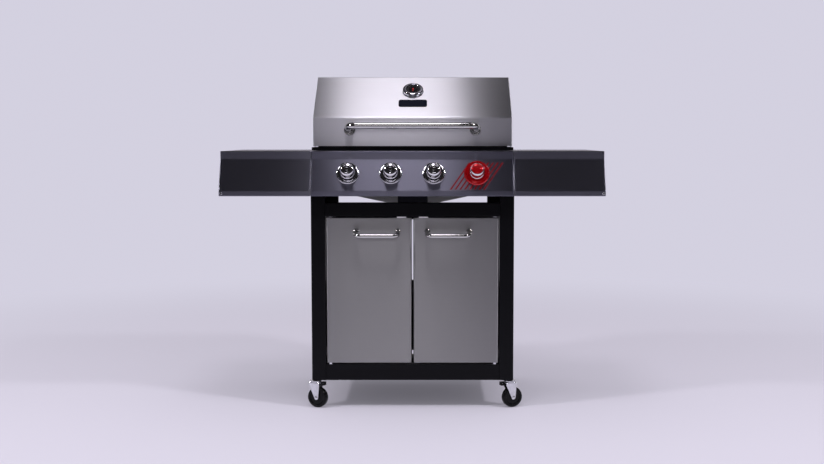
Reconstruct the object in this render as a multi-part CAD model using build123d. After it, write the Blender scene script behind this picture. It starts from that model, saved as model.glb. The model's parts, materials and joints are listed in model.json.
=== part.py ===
from build123d import *
from math import atan2, cos, degrees, hypot, sin, tan, radians
import os

# Four-burner gas barbecue grill on a closed cart, in millimetres. +X is the user's right, the front faces -Y,
# +Z is up. The origin is on the floor, under the middle of the bounding box. Depths called "back from the legs"
# are measured from the front face of the front legs.

# ---- Cart frame ----
CART_WIDTH = 680.0
CART_DEPTH = 520.0
LEG = 48.0
TUBE_WALL = 1.5
LEG_BOTTOM = 97.0
FRONT_LEG_TOP = 742.0
REAR_LEG_TOP = 658.0
RAIL_DEPTH = 40.0
TOP_RAIL_BOTTOM = 652.0
TOP_RAIL_TOP = 697.4
BOTTOM_RAIL_TOP = 151.4
SIDE_RAIL_HEIGHT = 50.0
SHEET = 1.2
PANEL_FLANGE = 14.0
SHELF_FLANGE = 12.0
REAR_PANEL_BOTTOM = 108.5
REAR_PANEL_TOP = 376.5
PLUG_HEIGHT = 24.0

# ---- Doors ----
DOOR_THICKNESS = 18.0
DOOR_SIDE_GAP = 1.6
DOOR_MIDDLE_GAP = 5.0
DOOR_BOTTOM_GAP = 5.6
DOOR_TOP_GAP = 5.2
DOOR_EDGE_RADIUS = 8.0
HINGE_INSET = 13.4
HINGE_PIN_RADIUS = 4.0
HINGE_BOSS_RADIUS = 7.0
HINGE_BOSS_HEIGHT = 15.0
CATCH_PLATE = (31.0, 12.0, 4.0)
CATCH_PLATE_X = 36.8
MAGNET = (48.0, 14.0, 18.0)

# ---- Running and seating clearances ----
RUNNING_FIT = 0.05
SEAT_GAP = 0.2
FIT_GAP = 0.3

# ---- Casters ----
WHEEL_RADIUS = 35.0
WHEEL_WIDTH = 22.0
WHEEL_TREAD_ROUND = 5.0
WHEEL_HUB_RADIUS = 10.0
WHEEL_HUB_PROUD = 1.0
AXLE_RADIUS = 3.0
AXLE_HEAD_RADIUS = 5.0
AXLE_HEAD_HEIGHT = 1.6
TRAIL = 8.0
STEM_OUT = 14.0
FORK_PLATE = 2.5
FORK_GAP = 1.2
FORK_TOP_WIDTH = 38.0
FORK_TIP_RADIUS = 7.5
FORK_CROWN_HEIGHT = 9.0
RACEWAY_RADIUS = 20.0
RACEWAY_HEIGHT = 5.0
STEM_RADIUS = 5.0
STEM_COLLAR_RADIUS = 9.0
STEM_DEPTH = 20.0
FRONT_CASTER_TURN = 21.0
REAR_CASTER_TURN = 20.0
PEDAL_PIN_OUT = 14.0
PEDAL_PIN_RADIUS = 2.0
PEDAL_PIN_DROP = 8.5
PEDAL_WIDTH = 18.0
PEDAL_PLATE = 3.0
PEDAL_OUT = 35.0
PEDAL_RISE = 11.0

# ---- Firebox ----
FIREBOX_FRONT = 52.0
FIREBOX_BACK_INSET = 34.0
FIREBOX_WALL = 1.5
FIREBOX_TOP = 890.0
FLANGE_TOP = 882.5
FLANGE_DROP = 10.5
FLANGE_SIDE_INSET = 2.0
FLANGE_FRONT = 32.0
FLANGE_BACK_INSET = 20.0
FLOOR_RISE = 0.2135
FLOOR_MIDDLE = 677.0
DRIP_SLOT = (60.0, 360.0)
LEDGE = 12.0
TAMER_LEDGE_TOP = 808.0
GRATE_LEDGE_TOP = 850.0
SUPPORT_INSIDE = 284.0
SUPPORT_SHEET = 2.5
SUPPORT_FOOT = 40.0

# ---- Grease tray ----
TRAY_WIDTH = 90.0
TRAY_BACK_INSET = 34.0
TRAY_HEIGHT = 14.0
TRAY_WALL = 1.0
TRAY_BOTTOM = 662.0
TRAY_BRACKET_TOP = 736.0
TRAY_PULL = 16.0
RUNNER_OUT = 5.0
RUNNER_LIP = 8.0

# ---- Burners, tamers, grates ----
BURNER_RADIUS = 14.0
BURNER_WALL = 1.0
BURNER_Z = 786.0
BURNER_TAIL_RADIUS = 3.0
TAMER_WIDTH = 92.0
TAMER_RISE = 26.0
GRATE_ROD = 7.0
GRATE_FRAME = 8.0
GRATE_PITCH = 17.5
GRATE_MIDDLE_GAP = 3.0
GRATE_SIDE_GAP = 4.0
RACK_Z = 965.0
RACK_DEPTH = 130.0
RACK_PITCH = 20.0
RACK_WIRE = 5.0
RACK_LEG_OUT = 6.3
RACK_BACK_INSET = 60.0
RACK_FOOT = 6.0
RACK_COLLAR = 2.0

# ---- Control panel and side shelves ----
PANEL_INSET = 4.5
PANEL_TOP = 870.0
PANEL_STRIP = 27.0
PANEL_FOOT = 17.5
PANEL_BOTTOM = 722.0
PANEL_TOP_REACH = 8.0
PANEL_FOOT_REACH = 50.0
PANEL_RETURN = 22.0
SHELF_SEAM = 1.5
SHELF_REACH = 302.5
SHELF_BACK_INSET = 80.0
SHELF_EDGE = 22.0
FASCIA_RETURN = 16.0
SHELF_ARM = (24.0, 24.0)
SHELF_ARM_FRONT = 90.0
SHELF_ARM_INSET = 60.0

# ---- Knobs and gas train ----
KNOB_END_GAP = 121.6
KNOB_Z = 797.0
BEZEL_RADIUS = 38.7
RED_BEZEL_RADIUS = 43.0
BEZEL_HEIGHT = 9.0
BEZEL_BORE = 12.0
KNOB_RADIUS = 26.0
KNOB_NOSE_RADIUS = 21.0
KNOB_BASE = 13.0
KNOB_HEIGHT = 31.0
KNOB_FACE_DEPTH = 3.0
KNOB_MARK = 2.0
KNOB_HUB_RADIUS = 10.5
KNOB_HUB_BOTTOM = 5.0
KNOB_BORE_DEPTH = 24.0
VALVE_STEM_RADIUS = 4.0
VALVE_STEM_BACK = 36.0
STEM_PUSH = 3.0
VALVE_BLOCK = 24.0
VALVE_FRONT = 20.0
VALVE_BACK = 46.0
VALVE_COLLAR_RADIUS = 9.0
MANIFOLD_RADIUS = 10.0
MANIFOLD_DROP = 25.0
MANIFOLD_END = 71.1
SPUD_RADIUS = 5.0
INLET_RADIUS = 7.9
INLET_LENGTH = 16.0

# ---- Lid ----
LID_INSET = 5.8
LID_SHEET = 1.2
LID_BOTTOM = 886.5
LID_FRONT = 40.0
LID_BREAK = 982.8
LID_TOP = 1125.0
LID_TOP_FRONT = 225.0
LID_TOP_INSET = 130.0
LID_BACK_INSET = 20.0
LID_BACK_BREAK = 1030.0
LID_VENT = 930.0
LID_BEND = 5.0
LID_TRIM = 100.0
LID_END_SHEET = 2.5
LID_PIVOT_INSET = 22.0
LID_PIVOT_Z = 905.0
LID_LUG_RADIUS = 19.0
LID_PIN_RADIUS = 4.0
LID_END_INSET = 1.0
HINGE_EAR_LID_GAP = 6.7
HINGE_EAR_OUT = 3.0
HINGE_EAR_SHEET = 3.0
HINGE_EAR_RADIUS = 12.0
LID_FOOT = 12.0
LID_FOOT_BACK = 80.0

# ---- Handles ----
LID_HANDLE_RADIUS = 11.2
LID_HANDLE_HALF = 217.5
LID_HANDLE_ROOT_HALF = 211.0
LID_HANDLE_ROOT_Z = 941.0
LID_HANDLE_BAR_Z = 954.0
LID_HANDLE_STANDOFF = 62.0
LID_HANDLE_BEND = 26.0
LID_HANDLE_FLANGE = 19.5
DOOR_HANDLE_RADIUS = 7.5
DOOR_HANDLE_HALF = 71.8
DOOR_HANDLE_ROOT_HALF = 70.0
DOOR_HANDLE_MIDDLE = 119.5
DOOR_HANDLE_ROOT_Z = 601.0
DOOR_HANDLE_BAR_Z = 590.0
DOOR_HANDLE_STANDOFF = 44.0
DOOR_HANDLE_BEND = 18.0
DOOR_HANDLE_FLANGE = 11.0
HANDLE_WALL = 1.2
FLANGE_HEIGHT = 7.0

# ---- Heat gauge and badge ----
GAUGE_UP = 146.0
GAUGE_RADIUS = 36.0
GAUGE_HEIGHT = 15.0
GAUGE_DIAL_RADIUS = 22.0
GAUGE_DIAL_DEPTH = 3.0
GAUGE_STEM_RADIUS = 4.0
GAUGE_STEM_LENGTH = 60.0
NEEDLE = (15.0, 2.4, 1.0)
NEEDLE_SHAFT_RADIUS = 1.2
NEEDLE_LIFT = 0.4
DIAL_SHEET = 1.0
BADGE = (97.0, 39.0, 2.5)
BADGE_UP = 77.5
BADGE_ROUND = 8.0

# ---- Screws ----
SCREW_RADIUS = 4.0
SCREW_HEIGHT = 2.4
SCREW_INSET = 12.0
FASCIA_SCREW_INSET = 8.0
LID_WASHER = (9.0, 1.5)
LID_SCREW_HEAD = (5.0, 4.5)

# ---- Places worked out from the sizes above ----
PANEL_RUN = PANEL_FOOT_REACH - PANEL_TOP_REACH
PANEL_RISE = PANEL_TOP - PANEL_STRIP - PANEL_BOTTOM - PANEL_FOOT
PANEL_TILT = atan2(PANEL_RUN, PANEL_RISE)
KNOB_FACE_REACH = PANEL_TOP_REACH + (PANEL_TOP - PANEL_STRIP - KNOB_Z) * tan(PANEL_TILT)
KNOB_NOSE = KNOB_BASE + KNOB_HEIGHT
KNOB_REACH = KNOB_FACE_REACH + KNOB_NOSE * cos(PANEL_TILT) + KNOB_NOSE_RADIUS * sin(PANEL_TILT)
FRONT = (KNOB_REACH - CART_DEPTH) / 2
HALF = CART_WIDTH / 2
PANEL_HALF = HALF - PANEL_INSET
LID_HALF = HALF - LID_INSET
LID_END_OUTSIDE = LID_HALF - LID_END_INSET
HINGE_EAR_INSIDE = LID_END_OUTSIDE - LID_END_SHEET - HINGE_EAR_LID_GAP - HINGE_EAR_SHEET
FIREBOX_SIDE = HINGE_EAR_INSIDE - HINGE_EAR_OUT
FIREBOX_BACK = CART_DEPTH - FIREBOX_BACK_INSET
FLANGE_SIDE = HALF - FLANGE_SIDE_INSET
FLANGE_BACK = CART_DEPTH - FLANGE_BACK_INSET
TRAY_DEPTH = FIREBOX_BACK - FIREBOX_FRONT - TRAY_BACK_INSET
RACK_LEG_X = FIREBOX_SIDE + RACK_LEG_OUT
RACK_BACK = FLANGE_BACK - RACK_BACK_INSET
SHELF_END = PANEL_HALF + SHELF_REACH
SHELF_BACK = CART_DEPTH - SHELF_BACK_INSET
SHELF_ARM_BACK = SHELF_BACK - SHELF_ARM_INSET
LID_BACK = CART_DEPTH - LID_BACK_INSET
LID_TOP_BACK = LID_BACK - LID_TOP_INSET
LID_PIVOT_BACK = LID_BACK - LID_PIVOT_INSET
KNOB_PITCH = 2 * (PANEL_HALF - KNOB_END_GAP) / 3
INSIDE = HALF - LEG
KNOB_X = [KNOB_PITCH * (i - 1.5) for i in range(4)]
MANIFOLD_HALF = KNOB_X[-1] + MANIFOLD_END
CABINET_TOP = REAR_LEG_TOP - SIDE_RAIL_HEIGHT
DOOR_BOTTOM = BOTTOM_RAIL_TOP + DOOR_BOTTOM_GAP
DOOR_TOP = TOP_RAIL_BOTTOM - DOOR_TOP_GAP
DOOR_OUTSIDE = INSIDE - DOOR_SIDE_GAP
HINGE_X = DOOR_OUTSIDE - HINGE_INSET
HINGE_Y = FRONT + DOOR_THICKNESS / 2
LEG_MIDDLE_X = HALF - LEG / 2
LEG_MIDDLE_Y = (FRONT + LEG / 2, FRONT + CART_DEPTH - LEG / 2)
FORK_INSIDE = WHEEL_WIDTH / 2 + FORK_GAP
FORK_OUTSIDE = FORK_INSIDE + FORK_PLATE
RACEWAY_TOP = LEG_BOTTOM - 4.0
RACEWAY_BOTTOM = RACEWAY_TOP - RACEWAY_HEIGHT
FORK_TOP = RACEWAY_BOTTOM - FIT_GAP
LID_SLOPE = atan2(LID_TOP - LID_BREAK, LID_TOP_FRONT - LID_FRONT)
SUPPORT_TOP = FLOOR_MIDDLE + FLOOR_RISE * SUPPORT_INSIDE
PEDAL_Z = FORK_TOP - PEDAL_PIN_DROP

parts = {}


def back(depth):
    """The y of a place that lies this far back from the front legs' front face."""
    return FRONT + depth


def block(x0, x1, y0, y1, z0, z1):
    """A box between two corners."""
    centre = Pos((x0 + x1) / 2, (y0 + y1) / 2, (z0 + z1) / 2)
    return centre * Box(abs(x1 - x0), abs(y1 - y0), abs(z1 - z0))


def tube_z(x, y, side_x, side_y, z0, z1):
    """An upright rectangular tube."""
    outer = block(x - side_x / 2, x + side_x / 2, y - side_y / 2, y + side_y / 2, z0, z1)
    inner_x = side_x / 2 - TUBE_WALL
    inner_y = side_y / 2 - TUBE_WALL
    return outer - block(x - inner_x, x + inner_x, y - inner_y, y + inner_y, z0 - 1, z1 + 1)


def tube_x(x0, x1, y0, y1, z0, z1):
    """A rectangular tube along X."""
    wall = TUBE_WALL
    return block(x0, x1, y0, y1, z0, z1) - block(x0 - 1, x1 + 1, y0 + wall, y1 - wall, z0 + wall, z1 - wall)


def tube_y(x0, x1, y0, y1, z0, z1):
    """A rectangular tube along Y."""
    wall = TUBE_WALL
    return block(x0, x1, y0, y1, z0, z1) - block(x0 + wall, x1 - wall, y0 - 1, y1 + 1, z0 + wall, z1 - wall)


def rod(start, end, radius):
    """A round bar between two points."""
    line = Vector(*end) - Vector(*start)
    return extrude(Plane(origin=start, z_dir=line) * Circle(radius), line.length)


def mirrored(shape):
    """The same shape on the other side of the middle plane."""
    return mirror(shape, about=Plane.YZ)


def outline(points, x0, x1):
    """A solid with this outline in (depth, height), between two x."""
    line = Polyline([(0, back(y), z) for y, z in points], close=True)
    return Pos(x0, 0, 0) * extrude(make_face(line), x1 - x0, dir=(1, 0, 0))


def group(*solids):
    """Separate solids of one node."""
    flat = [solid for shape in solids for solid in shape.solids()]
    return Compound(children=flat)


def on_panel(x):
    """The plane on the control panel's main facet where a knob's axis leaves it."""
    normal = (0, -cos(PANEL_TILT), sin(PANEL_TILT))
    return Plane(origin=(x, back(-KNOB_FACE_REACH), KNOB_Z), x_dir=(1, 0, 0), z_dir=normal)


def on_lid(up):
    """The plane on the lid's sloped face, this far up from the front crease."""
    y = back(LID_FRONT + up * cos(LID_SLOPE))
    z = LID_BREAK + up * sin(LID_SLOPE)
    return Plane(origin=(0, y, z), x_dir=(1, 0, 0), z_dir=(0, -sin(LID_SLOPE), cos(LID_SLOPE)))


def turned(points, plane):
    """A body of revolution about the plane's axis, from (radius, height) points."""
    face = make_face(Polyline([(r, 0, h) for r, h in points], close=True))
    return plane.location * revolve(face, Axis.Z)


# ---- Cart ----
def make_legs():
    legs = []
    for x in (-LEG_MIDDLE_X, LEG_MIDDLE_X):
        for y, top in zip(LEG_MIDDLE_Y, (FRONT_LEG_TOP, REAR_LEG_TOP)):
            legs.append(tube_z(x, y, LEG, LEG, LEG_BOTTOM, top))
    return group(*legs)


def make_leg_plugs():
    side = LEG - 2 * TUBE_WALL
    plugs = []
    for x in (-LEG_MIDDLE_X, LEG_MIDDLE_X):
        for y in LEG_MIDDLE_Y:
            plug = block(x - side / 2, x + side / 2, y - side / 2, y + side / 2,
                         LEG_BOTTOM, LEG_BOTTOM + PLUG_HEIGHT)
            stem_x = x + STEM_OUT * (1 if x > 0 else -1)
            bore = rod((stem_x, y, LEG_BOTTOM - 1), (stem_x, y, LEG_BOTTOM + STEM_DEPTH), STEM_RADIUS)
            plugs.append(plug - bore)
    return group(*plugs)


def make_front_rails():
    """The rails above and below the doors, with the hinge pins' holes."""
    top = tube_x(-INSIDE, INSIDE, FRONT, back(RAIL_DEPTH), TOP_RAIL_BOTTOM, TOP_RAIL_TOP)
    bottom = tube_x(-INSIDE, INSIDE, FRONT, back(RAIL_DEPTH), LEG_BOTTOM, BOTTOM_RAIL_TOP)
    radius = HINGE_PIN_RADIUS + RUNNING_FIT
    for x in (-HINGE_X, HINGE_X):
        top -= rod((x, HINGE_Y, TOP_RAIL_BOTTOM - 1), (x, HINGE_Y, TOP_RAIL_BOTTOM + 10), radius)
        bottom -= rod((x, HINGE_Y, BOTTOM_RAIL_TOP - 10), (x, HINGE_Y, BOTTOM_RAIL_TOP + 1), radius)
    return group(top, bottom)


def make_frame_rails():
    side = tube_y(LEG_MIDDLE_X - RAIL_DEPTH / 2, LEG_MIDDLE_X + RAIL_DEPTH / 2,
                  back(LEG), back(CART_DEPTH - LEG), CABINET_TOP, REAR_LEG_TOP)
    rear = tube_x(-INSIDE, INSIDE, back(CART_DEPTH - RAIL_DEPTH), back(CART_DEPTH), CABINET_TOP, REAR_LEG_TOP)
    return group(side, mirrored(side), rear)


def make_rear_panel():
    y0 = back(CART_DEPTH - LEG / 2 - PANEL_FLANGE / 2)
    panel = block(-INSIDE, INSIDE, y0, y0 + PANEL_FLANGE, REAR_PANEL_BOTTOM, REAR_PANEL_TOP)
    hollow = block(-INSIDE + SHEET, INSIDE - SHEET, y0 - 1, y0 + PANEL_FLANGE - SHEET,
                   REAR_PANEL_BOTTOM + SHEET, REAR_PANEL_TOP - SHEET)
    return panel - hollow


def make_side_panels():
    x0 = LEG_MIDDLE_X - PANEL_FLANGE / 2
    panel = block(x0, x0 + PANEL_FLANGE, back(LEG), back(CART_DEPTH - LEG), LEG_BOTTOM, CABINET_TOP)
    hollow = block(x0 - 1, x0 + PANEL_FLANGE - SHEET, back(LEG + SHEET), back(CART_DEPTH - LEG - SHEET),
                   LEG_BOTTOM + SHEET, CABINET_TOP - SHEET)
    panel -= hollow
    return group(panel, mirrored(panel))


def make_bottom_shelf():
    half = LEG_MIDDLE_X - PANEL_FLANGE / 2
    front = back(LEG)
    rear = back(CART_DEPTH - LEG - 5)
    tray = block(-half, half, front, rear, LEG_BOTTOM, LEG_BOTTOM + SHEET)
    tray += block(-INSIDE, INSIDE, back(RAIL_DEPTH), front, LEG_BOTTOM, LEG_BOTTOM + SHEET)
    lip = block(-INSIDE, INSIDE, back(RAIL_DEPTH), back(RAIL_DEPTH) + SHEET, LEG_BOTTOM, LEG_BOTTOM + SHELF_FLANGE)
    side = block(half - SHEET, half, front, rear, LEG_BOTTOM, LEG_BOTTOM + SHELF_FLANGE)
    return tray + lip + side + mirrored(side)


def make_magnet_catch():
    width, depth, height = MAGNET
    y0 = back(DOOR_THICKNESS + 1.0)
    body = block(-width / 2, width / 2, y0, y0 + depth, BOTTOM_RAIL_TOP, BOTTOM_RAIL_TOP + height)
    slot = block(-width / 2 + 6, width / 2 - 6, y0 - 1, y0 + 2, BOTTOM_RAIL_TOP + 9, BOTTOM_RAIL_TOP + height - 4)
    return body - slot


def make_hinge_pins():
    pins = []
    for x in (-HINGE_X, HINGE_X):
        lower = rod((x, HINGE_Y, BOTTOM_RAIL_TOP - 14), (x, HINGE_Y, DOOR_BOTTOM + HINGE_BOSS_HEIGHT),
                    HINGE_PIN_RADIUS)
        collar = rod((x, HINGE_Y, BOTTOM_RAIL_TOP), (x, HINGE_Y, DOOR_BOTTOM - SEAT_GAP), HINGE_BOSS_RADIUS)
        upper = rod((x, HINGE_Y, DOOR_TOP - HINGE_BOSS_HEIGHT), (x, HINGE_Y, TOP_RAIL_BOTTOM + 14),
                    HINGE_PIN_RADIUS)
        upper_collar = rod((x, HINGE_Y, DOOR_TOP + SEAT_GAP), (x, HINGE_Y, TOP_RAIL_BOTTOM), HINGE_BOSS_RADIUS)
        pins += [lower + collar, upper + upper_collar]
    pivot_y = back(LID_PIVOT_BACK)
    lid_pin = rod((HINGE_EAR_INSIDE - 2, pivot_y, LID_PIVOT_Z), (LID_HALF + 1, pivot_y, LID_PIVOT_Z), LID_PIN_RADIUS)
    head = rod((HINGE_EAR_INSIDE - 2, pivot_y, LID_PIVOT_Z), (HINGE_EAR_INSIDE, pivot_y, LID_PIVOT_Z),
               LID_PIN_RADIUS + 2)
    lid_pin += head
    return group(*pins, lid_pin, mirrored(lid_pin))


# ---- Doors ----
def make_door():
    """The right door: a folded skin with rounded upright edges, hinge bosses and a catch plate."""
    x0 = DOOR_MIDDLE_GAP / 2
    x1 = DOOR_OUTSIDE
    middle = (x0 + x1) / 2
    width = x1 - x0
    height = DOOR_TOP - DOOR_BOTTOM
    y_front = FRONT
    y_back = FRONT + DOOR_THICKNESS
    skin = block(x0, x1, y_front, y_back, DOOR_BOTTOM, DOOR_TOP)
    front_edges = [e for e in skin.edges().filter_by(Axis.Z) if e.center().Y < y_front + 1]
    skin = fillet(front_edges, DOOR_EDGE_RADIUS)
    hollow = Pos(middle, (y_front + y_back) / 2, (DOOR_BOTTOM + DOOR_TOP) / 2) * Box(
        width - 2 * SHEET, DOOR_THICKNESS - 2 * SHEET, height - 2 * SHEET)
    hollow_edges = [e for e in hollow.edges().filter_by(Axis.Z) if e.center().Y < y_front + 2]
    hollow = fillet(hollow_edges, DOOR_EDGE_RADIUS - SHEET)
    lip = PANEL_FLANGE
    window = block(x0 + lip, x1 - lip, y_back - 2 * SHEET, y_back + 1, DOOR_BOTTOM + lip, DOOR_TOP - lip)
    door = skin - hollow - window
    for z0, z1 in ((DOOR_BOTTOM, DOOR_BOTTOM + HINGE_BOSS_HEIGHT), (DOOR_TOP - HINGE_BOSS_HEIGHT, DOOR_TOP)):
        door += rod((HINGE_X, HINGE_Y, z0), (HINGE_X, HINGE_Y, z1), HINGE_BOSS_RADIUS)
        door -= rod((HINGE_X, HINGE_Y, z0 - 1), (HINGE_X, HINGE_Y, z1 + 1), HINGE_PIN_RADIUS + RUNNING_FIT)
    plate_width, plate_depth, plate_height = CATCH_PLATE
    plate = block(CATCH_PLATE_X - plate_width / 2, CATCH_PLATE_X + plate_width / 2,
                  y_front + 1, y_front + 1 + plate_depth, DOOR_TOP, DOOR_TOP + plate_height)
    return door, plate


def bar_handle(half, root_half, middle, face_y, root_z, bar_z, standoff, bend, radius, flange_radius):
    """A bent tube on two round flanges. face_y is the plane it is bolted to."""
    bar_y = face_y - standoff
    points = [(middle - root_half, face_y + radius, root_z), (middle - half, bar_y, bar_z),
              (middle + half, bar_y, bar_z), (middle + root_half, face_y + radius, root_z)]
    path = FilletPolyline(points, radius=bend)
    start = Plane(origin=path @ 0, z_dir=path % 0)
    tube = sweep(start * (Circle(radius) - Circle(radius - HANDLE_WALL)), path=path)
    solid = sweep(start * Circle(radius), path=path)
    tube &= block(middle - 2 * half, middle + 2 * half, bar_y - 2 * radius, face_y, root_z - 60, root_z + 60)
    flanges = []
    for x in (middle - root_half, middle + root_half):
        seat = Plane(origin=(x, face_y, root_z), x_dir=(1, 0, 0), z_dir=(0, -1, 0))
        flange = extrude(seat * Circle(flange_radius), FLANGE_HEIGHT)
        rim = flange.edges().filter_by(GeomType.CIRCLE).sort_by(Axis.Y)[0]
        flange = fillet(rim, FLANGE_HEIGHT * 0.6)
        flanges.append(flange - solid)
    return group(tube, *flanges)


def make_door_handle():
    return bar_handle(DOOR_HANDLE_HALF, DOOR_HANDLE_ROOT_HALF, DOOR_HANDLE_MIDDLE, FRONT,
                      DOOR_HANDLE_ROOT_Z, DOOR_HANDLE_BAR_Z, DOOR_HANDLE_STANDOFF, DOOR_HANDLE_BEND,
                      DOOR_HANDLE_RADIUS, DOOR_HANDLE_FLANGE)


# ---- Casters ----
def caster_frame(x, y, turn):
    """The frame of a caster: its x runs from the swivel axis to the wheel, its y along the axle."""
    return Location((x, y, 0), (0, 0, turn))


def make_wheel():
    tyre = Rot(90, 0, 0) * Cylinder(WHEEL_RADIUS, WHEEL_WIDTH)
    tyre = fillet(tyre.edges().filter_by(GeomType.CIRCLE), WHEEL_TREAD_ROUND)
    hub = Rot(90, 0, 0) * Cylinder(WHEEL_HUB_RADIUS, WHEEL_WIDTH + 2 * WHEEL_HUB_PROUD)
    bore = Rot(90, 0, 0) * Cylinder(AXLE_RADIUS + RUNNING_FIT, WHEEL_WIDTH + 10)
    return Pos(TRAIL, 0, WHEEL_RADIUS) * (tyre + hub - bore)


def make_fork():
    half_top = FORK_TOP_WIDTH / 2
    crown_bottom = FORK_TOP - FORK_CROWN_HEIGHT
    line = Polyline([(-half_top, 0, FORK_TOP), (half_top, 0, FORK_TOP), (half_top, 0, crown_bottom),
                     (TRAIL + FORK_TIP_RADIUS, 0, WHEEL_RADIUS), (TRAIL - FORK_TIP_RADIUS, 0, WHEEL_RADIUS),
                     (-half_top, 0, crown_bottom)], close=True)
    cheek_face = make_face(line)
    crown = Pos(0, 0, FORK_TOP - FORK_PLATE / 2) * Box(FORK_TOP_WIDTH, 2 * FORK_OUTSIDE, FORK_PLATE)
    fork = crown
    for side in (-1, 1):
        middle = side * (FORK_INSIDE + FORK_PLATE / 2)
        cheek = Pos(0, middle, 0) * extrude(cheek_face, FORK_PLATE / 2, both=True)
        tip = Pos(TRAIL, middle, WHEEL_RADIUS) * Rot(90, 0, 0) * Cylinder(FORK_TIP_RADIUS, FORK_PLATE)
        fork += cheek + tip
    hole = Pos(TRAIL, 0, WHEEL_RADIUS) * Rot(90, 0, 0) * Cylinder(AXLE_RADIUS, 4 * WHEEL_WIDTH)
    stem_hole = Pos(0, 0, FORK_TOP) * Cylinder(STEM_RADIUS + RUNNING_FIT, 4 * FORK_PLATE)
    fork = fork - hole - stem_hole
    axle = Pos(TRAIL, 0, WHEEL_RADIUS) * Rot(90, 0, 0) * Cylinder(AXLE_RADIUS, 2 * FORK_OUTSIDE)
    for side in (-1, 1):
        head = Pos(TRAIL, side * (FORK_OUTSIDE + AXLE_HEAD_HEIGHT / 2), WHEEL_RADIUS)
        axle += head * Rot(90, 0, 0) * Cylinder(AXLE_HEAD_RADIUS, AXLE_HEAD_HEIGHT)
    return fork, axle


def make_caster_stem():
    """The threaded stem, its collar and the upper raceway, in one piece with the leg."""
    raceway = Pos(0, 0, (RACEWAY_TOP + RACEWAY_BOTTOM) / 2) * Cylinder(RACEWAY_RADIUS, RACEWAY_HEIGHT)
    raceway = fillet(raceway.edges().filter_by(GeomType.CIRCLE), 1.5)
    collar = rod((0, 0, RACEWAY_TOP), (0, 0, LEG_BOTTOM), STEM_COLLAR_RADIUS)
    stem = rod((0, 0, FORK_TOP - FORK_PLATE - 2), (0, 0, LEG_BOTTOM + STEM_DEPTH - 1), STEM_RADIUS - RUNNING_FIT)
    nut = rod((0, 0, FORK_TOP - FORK_PLATE - 3.5), (0, 0, FORK_TOP - FORK_PLATE - FIT_GAP), STEM_COLLAR_RADIUS)
    return raceway + collar + stem + nut


def make_brake_pedal():
    """A rocker on a pin between the fork's cheeks: an arm outwards, and a tread that stands up at its end."""
    pin_y = FORK_INSIDE - FIT_GAP
    half = PEDAL_WIDTH / 2
    pin = rod((PEDAL_PIN_OUT, -pin_y, PEDAL_Z), (PEDAL_PIN_OUT, pin_y, PEDAL_Z), PEDAL_PIN_RADIUS)
    bottom = PEDAL_Z - PEDAL_PIN_RADIUS
    arm = block(PEDAL_PIN_OUT, PEDAL_OUT, -half, half, bottom, bottom + PEDAL_PLATE)
    tread = block(PEDAL_OUT - PEDAL_PLATE, PEDAL_OUT, -half, half, bottom, bottom + PEDAL_RISE)
    cap = block(RACEWAY_RADIUS + 2, PEDAL_OUT, -half, half, bottom + PEDAL_RISE - PEDAL_PLATE, bottom + PEDAL_RISE)
    return pin + arm + tread + cap


# ---- Firebox ----
def floor_z(x):
    return FLOOR_MIDDLE + FLOOR_RISE * abs(x)


def trough(side, front, rear, bottom_lift, top):
    """A solid with the firebox's V-shaped underside."""
    face = make_face(Polyline([(-side, 0, top), (-side, 0, floor_z(side) + bottom_lift),
                               (0, 0, floor_z(0) + bottom_lift), (side, 0, floor_z(side) + bottom_lift),
                               (side, 0, top)], close=True))
    return Pos(0, back(front), 0) * extrude(face, rear - front, dir=(0, 1, 0))


def make_firebox():
    """The tub: four walls on a V-shaped floor with a drip slot, and ledges for the tamers and the grates."""
    wall = FIREBOX_WALL
    side = FIREBOX_SIDE
    box = trough(side, FIREBOX_FRONT, FIREBOX_BACK, 0, FLANGE_TOP - wall)
    box -= trough(side - wall, FIREBOX_FRONT + wall, FIREBOX_BACK - wall, wall, FLANGE_TOP)
    slot_width, slot_depth = DRIP_SLOT
    slot_y = back((FIREBOX_FRONT + FIREBOX_BACK) / 2)
    box -= block(-slot_width / 2, slot_width / 2, slot_y - slot_depth / 2, slot_y + slot_depth / 2,
                 FLOOR_MIDDLE - 5, FLOOR_MIDDLE + 40)
    front_y = back(FIREBOX_FRONT + wall)
    rear_y = back(FIREBOX_BACK - wall)
    for top in (TAMER_LEDGE_TOP, GRATE_LEDGE_TOP):
        box += block(wall - side, side - wall, front_y, front_y + LEDGE, top - wall, top)
        box += block(wall - side, side - wall, rear_y - LEDGE, rear_y, top - wall, top)
    for x in KNOB_X:
        box -= rod((x, back(FIREBOX_FRONT) - 1, BURNER_Z), (x, front_y + 1, BURNER_Z), BURNER_RADIUS + SEAT_GAP)
        box -= rod((x, rear_y - 1, BURNER_Z), (x, back(FIREBOX_BACK) + 1, BURNER_Z), BURNER_TAIL_RADIUS + SEAT_GAP)
    return box


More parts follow.
